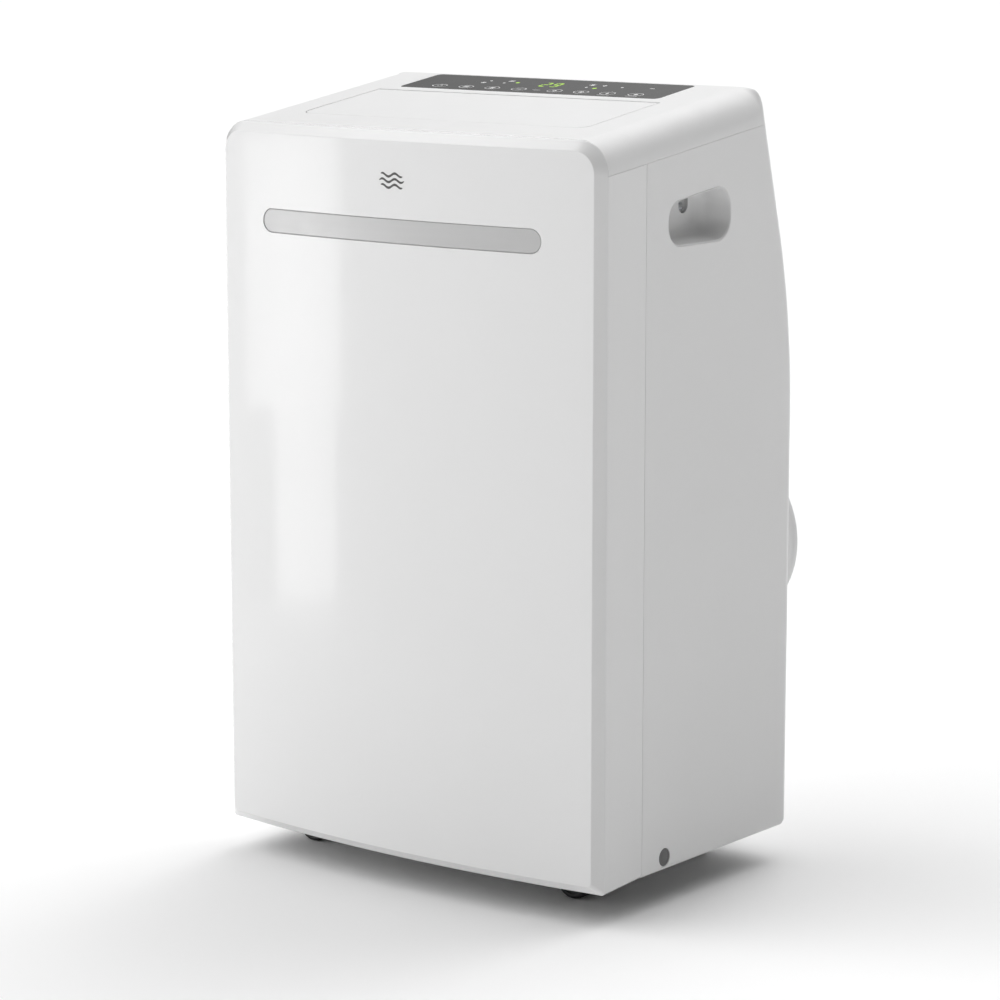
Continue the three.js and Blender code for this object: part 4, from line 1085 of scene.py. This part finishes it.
def ring_outline(x, v, rx, rv, width, count=40):
    """A thin oval ring as a row of quads."""
    quads = []
    for i in range(count):
        a, b = 2 * math.pi * i / count, 2 * math.pi * (i + 1) / count
        inner = [(x + (rx - width) * math.cos(t), v + (rv - width) * math.sin(t)) for t in (a, b)]
        outer = [(x + rx * math.cos(t), v + rv * math.sin(t)) for t in (a, b)]
        quads.append([inner[0], outer[0], outer[1], inner[1]])
    return quads


def bar(x, v, length, width, turn=0.0):
    c, s = math.cos(math.radians(turn)), math.sin(math.radians(turn))
    ends = [(-length / 2, -width / 2), (length / 2, -width / 2),
            (length / 2, width / 2), (-length / 2, width / 2)]
    return [(x + a * c - b * s, v + a * s + b * c) for a, b in ends]


def dot(x, v, radius):
    return circle(x, v, radius, 16)


def glyph(kind, x, v):
    """A small generic sign inside a touch key."""
    if kind == "power":
        return ring_outline(x, v, 2.6, 2.6, 0.5, 20) + [bar(x, v + 2.4, 0.6, 2.8)]
    if kind == "plus":
        return [bar(x, v, 5.4, 1.5), bar(x, v, 1.5, 5.4)]
    if kind == "minus":
        return [bar(x, v, 5.4, 1.5)]
    if kind == "star":
        return [bar(x, v, 6.0, 1.5, turn) for turn in (0, 60, 120)]
    if kind == "sun":
        return [dot(x, v, 2.2)] + [bar(x + 3.2 * math.cos(math.radians(t)),
                                       v + 3.2 * math.sin(math.radians(t)), 1.4, 0.8, t)
                                   for t in range(0, 360, 45)]
    if kind == "drop":
        return [[(x + 1.8 * math.sin(t) * math.sin(t / 2) ** 0.8, v + 2.6 * math.cos(t))
                 for t in [2 * math.pi * i / 20 for i in range(20)]]]
    if kind == "wave":
        return [bar(x, v + shift, 6.4, 1.2) for shift in (-2.0, 0.0, 2.0)]
    return [dot(x, v, 2.2)]


def make_controls():
    c = CONTROLS
    glass = prism("control_glass", rounded_rect(-c["half_width"], c["half_width"], c["v0"],
                                                c["v1"], c["radius"], 8),
                  "z", -WALL, 0.0, MATERIALS["dark_glass"], edge=0.35, matrix=TOP_FRAME)
    place(glass, "casing", "dark_glass", "control_panel")

    def v_at(y):
        return (y - TOP_FRONT_Y) / math.cos(TOP_SLOPE)

    key_v = v_at(16.5)
    keys = [("power", -115.8), ("wave", -82.6), ("sun", -50.2), ("minus", -17.5), ("plus", 26.0),
            ("star", 57.9), ("drop", 89.2), ("timer", 122.3)]
    rings = []
    signs = []
    for kind, x in keys:
        rings += ring_outline(x, key_v, 8.6, 5.8, 0.7)
        signs += glyph(kind, x, key_v)
    printed("key_rings", rings)
    printed("key_signs", signs)
    printed("key_marks", [bar(4.0, key_v, 9.0, 0.8), bar(89.2, key_v - 8.0, 14.0, 0.6),
                          bar(122.3, key_v - 8.0, 14.0, 0.6)])

    lamps = [(-78, 38, "star"), (-75, 47, "dot"), (-54, 40, "dot"), (-51.5, 50, "wave"),
             (48, 38, "dot"), (48, 49, "sun"), (63, 48, "plus"), (86.5, 44, "dot"),
             (121, 45, "minus")]
    signs = []
    for x, y, kind in lamps:
        signs += glyph(kind, x, v_at(y)) if kind != "dot" else [dot(x, v_at(y), 1.5)]
    printed("lamp_signs", signs)
    printed("lit_lamps", [dot(-40, v_at(44), 2.2), dot(60, v_at(35), 2.4)], "glow")

    # Two seven-segment digits, lit green.
    segments = {"a": (0, 8, 0), "b": (3.4, 4, 90), "c": (3.4, -4, 90), "d": (0, -8, 0),
                "e": (-3.4, -4, 90), "f": (-3.4, 4, 90), "g": (0, 0, 0)}
    lit = []
    for x0, shown in ((-3.0, "abged"), (10.0, "abcdfg")):
        for key in shown:
            dx, dv, turn = segments[key]
            lit.append(bar(x0 + dx, v_at(41.0) + dv, 6.8 if turn == 90 else 5.8, 2.0, turn))
    printed("display_digits", lit, "glow")


def make_flap():
    f = FLAP
    outline = (arc(f["half_width"] - f["radius"], f["v0"] + f["radius"], f["radius"], -90, 0, 10)
               + [(f["half_width"], f["v1"]), (-f["half_width"], f["v1"])]
               + arc(f["radius"] - f["half_width"], f["v0"] + f["radius"], f["radius"],
                     180, 270, 10))
    parts = [prism("plate", outline, "z", -f["thickness"], 0.0, None, edge=0.45,
                   matrix=TOP_FRAME, segments=3)]
    axis_v, axis_w = FLAP_AXIS["v"], FLAP_AXIS["w"]
    for sign in (-1, 1):
        inner, outer = sorted((sign * (f["half_width"] - 10), sign * f["half_width"]))
        knuckle = (arc(axis_v, axis_w, 3.1, 180, 360, 12)
                   + [(axis_v + 0.6, -2.6), (axis_v - 3.1, -2.6)])
        parts.append(prism("knuckle", knuckle, "x", inner, outer, None, edge=0.3,
                           matrix=TOP_FRAME))
    pin_profile = [(0.0, -175.5), (1.3, -175.5), (1.6, -175.1), (1.6, 175.1), (1.3, 175.5),
                   (0.0, 175.5)]
    parts.append(turned("pin", pin_profile, "x", (0, axis_v, axis_w), None, 24, TOP_FRAME))
    # Ribs stiffen the underside.
    for x in (-120, -60, 0, 60, 120):
        rib = [(f["v0"] + 14, -2.8), (f["v1"] - 14, -2.8), (f["v1"] - 20, -4.6),
               (f["v0"] + 20, -4.6)]
        parts.append(prism("rib", rib, "x", x - 0.8, x + 0.8, None, edge=0.2, matrix=TOP_FRAME))
    for v in (f["v0"] + 16, f["v1"] - 18):
        rib = [(-150, -2.8), (150, -2.8), (146, -4.4), (-146, -4.4)]
        parts.append(prism("rib", rib, "y", v - 0.8, v + 0.8, None, edge=0.2, matrix=TOP_FRAME))
    flap = joined("air_flap", parts, MATERIALS["satin_white"])
    return place(flap, "flap", "satin_white", "outlet_flap")


def make_vanes():
    for i in range(1, 6):
        low, high = corners(f"air_vane_{i}")
        x, z = (low[0] + high[0]) / 2, VANE["z"]
        half, reach = VANE["half_thickness"], VANE["half_height"]
        blade = box("blade", x - half, x + half, VANE["front"], VANE["rear"], z - reach, z + reach,
                    None, edge=0.5)
        pivot = turned("pivot", [(0.0, low[1]), (1.7, low[1]), (2.0, low[1] + 0.4),
                                 (2.0, high[1] - 0.4), (1.7, high[1]), (0.0, high[1])],
                       "y", (x, 0, z), None, 20)
        crank = turned("crank", [(0.0, -114.5), (1.2, -114.5), (1.4, -114.2), (1.4, -108.0),
                                 (0.0, -108.0)], "y", (x, 0, z - 14.0), None, 16)
        ribs = [prism("rib", circle(x, z, 3.2, 24), "y", y - 0.7, y + 0.7, None, edge=0.25)
                for y in (-108.0, -36.0)]
        vane = joined(f"vane_blade_{i}", [blade, pivot, crank] + ribs,
                      MATERIALS["black_plastic"])
        place(vane, f"vane_{i}", "black_plastic", f"air_vane_{i}")


def make_link():
    low, high = corners("vane_link")
    rail = box("link_bar", low[0], high[0], low[1], high[1], low[2], high[2],
               MATERIALS["black_plastic"], edge=0.4)
    return place(rail, "link", "black_plastic", "vane_link")


# ---------------------------------------------------------------- back


def rear_sheet_point(x, z, depth=0.0):
    return Vector((x, rear_y(z) - depth, z))


def spigot_radius(node):
    """Radius of the part of a round rear fitting that goes through the back."""
    low, high = corners(node)
    return (high[0] - low[0]) / 2 - FLANGE_WIDTH


def about_y(x, z, angle):
    return Matrix.Translation((x, 0, z)) @ Matrix.Rotation(angle, 4, "Y")


def upright(x0, x1, near, far, foot, head, steps, edge=0.0):
    """A bar up the back, following its lean."""
    rings = []
    for i in range(steps + 1):
        z = foot + (head - foot) * i / steps
        rings.append([rear_sheet_point(x, z, depth)
                      for x, depth in ((x0, near), (x1, near), (x1, far), (x0, far))])
    return capped("upright", rings, edge)


def make_back():
    """The back panel: flat below, leaning forward above, with its openings."""
    edge = REAR_FLANGE_X - SEAM
    split = 430.0
    bm = bmesh.new()
    low, up = LOWER_INTAKE, UPPER_INTAKE
    outline = [(-edge, SIDE_BOTTOM_Z), (edge, SIDE_BOTTOM_Z), (edge, split),
               (up["half_width"], split), (-up["half_width"], split), (-edge, split)]
    window = rounded_rect(-low["half_width"], low["half_width"], low["z0"], low["z1"], 4.0, 4)
    holes = [circle(EXHAUST["x"], EXHAUST["z"], EXHAUST["hole"], 96)]
    for node in ("upper_drain_cap", "lower_drain_cap", "cord_gland"):
        holes.append(circle(middle(node, 0), middle(node, 2), spigot_radius(node) + 0.3, 40))
    fill(bm, *[[rear_sheet_point(x, z) for x, z in loop] for loop in [outline, window] + holes])

    ceiling = seam_z(rear_y(720.0)) - TOP_SEAM
    rows = [split, up["z0"]] + [up["z0"] + (up["z1"] - up["z0"]) * i / 24 for i in range(1, 25)]
    rows.append(ceiling)
    for z0, z1 in zip(rows, rows[1:]):
        for x0, x1 in ((-edge, -up["half_width"]), (-up["half_width"], up["half_width"]),
                       (up["half_width"], edge)):
            if x0 < 0 < x1 and up["z0"] - 0.1 < z0 < up["z1"] - 0.1:
                continue
            loft(bm, [[rear_sheet_point(x0, z0), rear_sheet_point(x1, z0)],
                      [rear_sheet_point(x0, z1), rear_sheet_point(x1, z1)]], closed=False)
    panel = shell("back_shell", bm, MATERIALS["satin_white"], (0, 0, 300), WALL, 0.35)
    return place(panel, "casing", "satin_white", "rear_panel")


def make_grille(name, body, node, size):
    """A framed grille whose slats slope down to the outside."""
    border, half = 14.0, size["half_width"] - SEAM
    z0, z1 = size["z0"] + SEAM, size["z1"] - SEAM
    pitch = (size["z1"] - size["z0"] - 2 * border) / size["rows"]
    parts = []

    def bar_along(x0, x1, section):
        """A bar across the back with a section of (depth, height) points."""
        return capped("bar", [[rear_sheet_point(x, z, depth) for depth, z in section]
                              for x in (x0, x1)], 0.3)

    for low, high in ((z0, z0 + border - 0.5), (z1 - border + 0.5, z1)):
        parts.append(bar_along(-half, half, [(0, low), (WALL, low), (WALL, high), (0, high)]))
    for row in range(size["rows"]):
        low = size["z0"] + border + row * pitch + pitch * 0.55
        high = low + pitch * 0.45
        parts.append(bar_along(-half + border - 1, half - border + 1, [
            (0.1, low - 1.6), (0.9, low - 1.8), (WALL, low), (WALL, high - 0.2),
            (WALL - 0.6, high), (0.0, high - 1.4)]))
    steps = max(1, round((z1 - z0) / 12))
    uprights = [(-half, -half + border), (half - border, half), (-4.0, 4.0)]
    ribs = [half * share for share in (-0.68, -0.36, 0.36, 0.68)]
    uprights += [(x - 1.0, x + 1.0) for x in ribs]
    # Uprights end inside the borders and lie a little deeper, so no two faces coincide.
    foot, head = z0 + border - 1.5, z1 - border + 1.5
    for x0, x1 in uprights:
        near = 0.05 if x1 - x0 > 3 else 0.8
        parts.append(upright(x0, x1, near, WALL - 0.1, foot, head, steps, 0.25))
    grille = joined(name, parts, MATERIALS["satin_white"])
    return place(grille, body, "satin_white", node)


def make_filter(name, body, node, size):
    """A finely pleated dark mesh behind its grille, with bars up its back."""
    inset, row_height = 6, 6
    half, z0, z1 = size["half_width"] - inset, size["z0"] + inset, size["z1"] - inset
    near, far = WALL + 0.3, WALL + 2.3
    rows = max(2, round((z1 - z0) / row_height))
    columns = 60
    bm = bmesh.new()
    front, back = [], []
    for i in range(rows + 1):
        z = z0 + (z1 - z0) * i / rows
        line_front, line_back = [], []
        for j in range(columns + 1):
            x = half * (2 * j / columns - 1)
            pleat = 0.35 * (j % 2)
            line_front.append(rear_sheet_point(x, z, near + 0.5 + pleat))
            line_back.append(rear_sheet_point(x, z, far - 0.4))
        front.append(line_front)
        back.append(line_back)
    loft(bm, front, closed=False)
    loft(bm, back, closed=False)
    for rows_pair in ((front[0], back[0]), (front[-1], back[-1])):
        loft(bm, rows_pair, closed=False)
    for j in (0, -1):
        loft(bm, [[row[j] for row in front], [row[j] for row in back]], closed=False)
    weld(bm, 1e-3)
    sheet = finish_edges(object_from(name, bm, MATERIALS["filter_mesh"]), 0)
    place(sheet, body, "filter_mesh", node)
    steps = max(1, round((z1 - z0) / 12))
    bars = [upright(x - 2, x + 2, near, far, z0, z1, steps)
            for x in (-half + 2, -half / 3, half / 3, half - 2)]
    frame_bars = joined(f"{name}_frame", bars, MATERIALS["black_plastic"])
    place(frame_bars, body, "black_plastic")


def make_exhaust():
    """A round collar with a beaded rim and inner locking ribs."""
    radius = (COLLAR_HIGH[0] - COLLAR_LOW[0]) / 2
    rim = COLLAR_HIGH[1]
    back = COLLAR_LOW[1]
    hole = EXHAUST["hole"] - 0.3
    bore = 86.0
    profile = ([(bore, back), (hole, back), (hole, SEAT_Y), (radius, SEAT_Y),
                (radius, SEAT_Y + 1.0), (radius - 0.8, SEAT_Y + 1.8), (radius - 0.8, rim - 9.0),
                (radius, rim - 8.0), (radius, rim - 3.0)]
               + fillet((radius, rim), (radius, rim - 5), (bore, rim), 2.4, 6)
               + fillet((bore, rim), (radius, rim), (bore, rim - 5), 2.4, 6)
               + [(bore, rim - 12), (bore + 1.0, rim - 13), (bore + 1.0, rim - 18),
                  (bore, rim - 19)])
    parts = [turned("collar", profile, "y", (EXHAUST["x"], 0, EXHAUST["z"]), None, 128)]
    for i in range(4):
        turn = about_y(EXHAUST["x"], EXHAUST["z"], -math.radians(45 + 90 * i))
        parts.append(box("lug", bore - 2.5, bore + 0.8, rim - 30, rim - 24, -9, 9, None,
                         edge=0.5, matrix=turn))
    collar = joined("exhaust_ring", parts, MATERIALS["satin_white"])
    return place(collar, "casing", "satin_white", "exhaust_collar")


def make_drain(name, body, node):
    inner, outer = corners(node)[0][1], corners(node)[1][1]
    x, z = middle(node, 0), middle(node, 2)
    radius, wide, top = spigot_radius(node), spigot_radius(node) + FLANGE_WIDTH, SEAT_Y + 5
    body_profile = [(0.0, inner), (radius - 0.8, inner), (radius, inner + 0.8)]
    for i in range(2):
        y = inner + 3.0 + 3.0 * i
        body_profile += [(radius, y), (radius - 0.7, y + 0.5), (radius - 0.7, y + 1.0),
                         (radius, y + 1.5)]
    body_profile += ([(radius, SEAT_Y), (wide, SEAT_Y)]
                     + fillet((wide, top), (wide, SEAT_Y), (0.0, top), 1.6, 4) + [(0.0, top)])
    parts = [turned("cap", body_profile, "y", (x, 0, z), None, 64)]
    parts.append(box("grip", x - radius + 1, x + radius - 1, top - 1, outer, z - 1.6, z + 1.6,
                     None, edge=0.7))
    for i in range(18):
        parts.append(box("rib", wide - 0.8, wide, SEAT_Y + 0.6, SEAT_Y + 3.4, -0.6, 0.6, None,
                         edge=0.2, matrix=about_y(x, z, 2 * math.pi * i / 18)))
    cap = joined(name, parts, MATERIALS["grey_plastic"])
    return place(cap, body, "grey_plastic", node)


def make_gland():
    node = "cord_gland"
    inner, tip = corners(node)[0][1], corners(node)[1][1]
    radius, wide = spigot_radius(node), spigot_radius(node) + FLANGE_WIDTH
    profile = [(4.0, inner), (radius - 0.4, inner), (radius, inner + 0.6), (radius, SEAT_Y),
               (wide, SEAT_Y), (wide, SEAT_Y + 2.2), (wide - 0.8, SEAT_Y + 3)]
    for i in range(2):
        y, rib = SEAT_Y + 3.2 + 2.2 * i, 8.2 - 0.5 * i
        profile += [(rib, y), (rib, y + 0.9), (rib - 1.0, y + 1.1), (rib - 1.0, y + 2.0)]
    profile += [(6.6, tip - 0.5), (6.1, tip), (4.4, tip), (4.0, tip - 0.4)]
    gland = turned("cord_grommet", profile, "y", (middle(node, 0), 0, middle(node, 2)),
                   MATERIALS["black_rubber"], 48)
    return place(gland, "casing", "black_rubber", node)


# ---------------------------------------------------------------- castors


def make_castor(corner):
    """A twin-wheel castor standing where its CAD fork is."""
    low, high = corners(f"castor_{corner}_fork")
    y = (low[1] + high[1]) / 2
    sign = 1 if low[0] > 0 else -1
    turn = (Matrix.Translation((CASTOR["x"] * sign, y, 0))
            @ Matrix.Rotation(math.pi / 2, 4, "Z"))
    trail, r, w, web_half = (CASTOR[key] for key in ("trail", "radius", "width", "web_half"))
    web_outline = ([(-12, 41), (-10, 30), (trail - 6, r - 6)]
                   + arc(trail, r - 4, 6.3, 200, 340, 8)
                   + [(trail + 12, 32), (trail + 4, 41)])
    parts = [
        prism("web", web_outline, "x", -web_half, web_half, None, edge=0.6, matrix=turn),
        turned("axle", [(0.0, -11.3), (2.4, -11.3), (3.0, -10.7), (3.0, 10.7), (2.4, 11.3),
                        (0.0, 11.3)], "x", (0, trail, r), None, 32, turn),
        turned("plate", [(0.0, 40.0), (13.6, 40.0), (15.0, 41.0), (15.0, 42.6), (14.2, 43.4),
                         (0.0, 43.4)], "z", (0, 0, 0), None, 56, turn),
        turned("stem", [(0.0, 42.0), (5.0, 42.0), (5.0, 54.0), (4.4, 54.6), (4.4, 56.4),
                        (5.0, 57.0), (5.0, 62.6), (3.8, 64.0), (0.0, 64.0)], "z", (0, 0, 0),
               None, 40, turn),
    ]
    fork = joined(f"{corner}_castor_frame", parts, MATERIALS["black_plastic"])
    place(fork, f"{corner}_castor", "black_plastic", f"castor_{corner}_fork")
    for letter, side in (("a", 1), ("b", -1)):
        place_wheel = turn @ Matrix.Translation((side * (web_half + 0.3), trail, r))
        if side < 0:
            place_wheel = place_wheel @ Matrix.Rotation(math.pi, 4, "Z")
        profile = ([(3.3, 0.0), (r - 1.5, 0.0), (r, 1.5), (r, 3.2), (r - 0.5, 3.7),
                    (r - 0.5, 4.3), (r, 4.8), (r, w - 3.0)]
                   + fillet((r - 0.4, w), (r, w - 4), (10, w), 2.4, 6)
                   + [(15.0, w), (14.4, w - 0.4), (14.0, w - 2.6), (7.4, w - 2.6),
                      (6.8, w - 0.5), (6.2, w), (3.3, w)])
        wheel_parts = [turned("wheel", profile, "x", (0, 0, 0), None, 72, place_wheel)]
        for i in range(6):
            spoke = place_wheel @ Matrix.Rotation(math.pi * i / 3, 4, "X")
            wheel_parts.append(box("spoke", w - 3.2, w - 0.9, 6.0, 14.8, -0.9, 0.9, None,
                                   edge=0.3, matrix=spoke))
        wheel = joined(f"{corner}_roller_{letter}", wheel_parts, MATERIALS["black_plastic"])
        place(wheel, f"{corner}_wheel_{letter}", "black_plastic", f"castor_{corner}_wheel_{letter}")


# ---------------------------------------------------------------- assembly

make_front_casing()
make_trim_strip()
make_badge()
make_top_cover()
for side, sign in (("right", 1), ("left", -1)):
    make_side(side, sign)
    make_grip(side, sign)
    make_screw(side, sign)
    make_plug(side, sign)
make_controls()
make_flap()
make_vanes()
make_link()
make_back()
for level, size in (("upper", UPPER_INTAKE), ("lower", LOWER_INTAKE)):
    panel = f"{level}_filter_panel"
    make_grille(f"{level}_grille_slats", panel, f"{level}_intake_grille", size)
    make_filter(f"{level}_filter_mesh", panel, f"{level}_filter", size)
make_exhaust()
for level in ("upper", "lower"):
    make_drain(f"{level}_drain_bung", f"{level}_drain_plug", f"{level}_drain_cap")
make_gland()
for corner in ("front_right", "front_left", "rear_right", "rear_left"):
    make_castor(corner)

# What stays as the CAD has it takes a detailed finish from its own material slot.
slots = {m["node"]: m["slot"] for m in frame["record"]["materials"] if "node" in m}
for name, node in frame["nodes"].items():
    if not node.hide_render:
        for index in range(len(node.data.materials)):
            node.data.materials[index] = MATERIALS[slots.get(name, "inner_grey")]
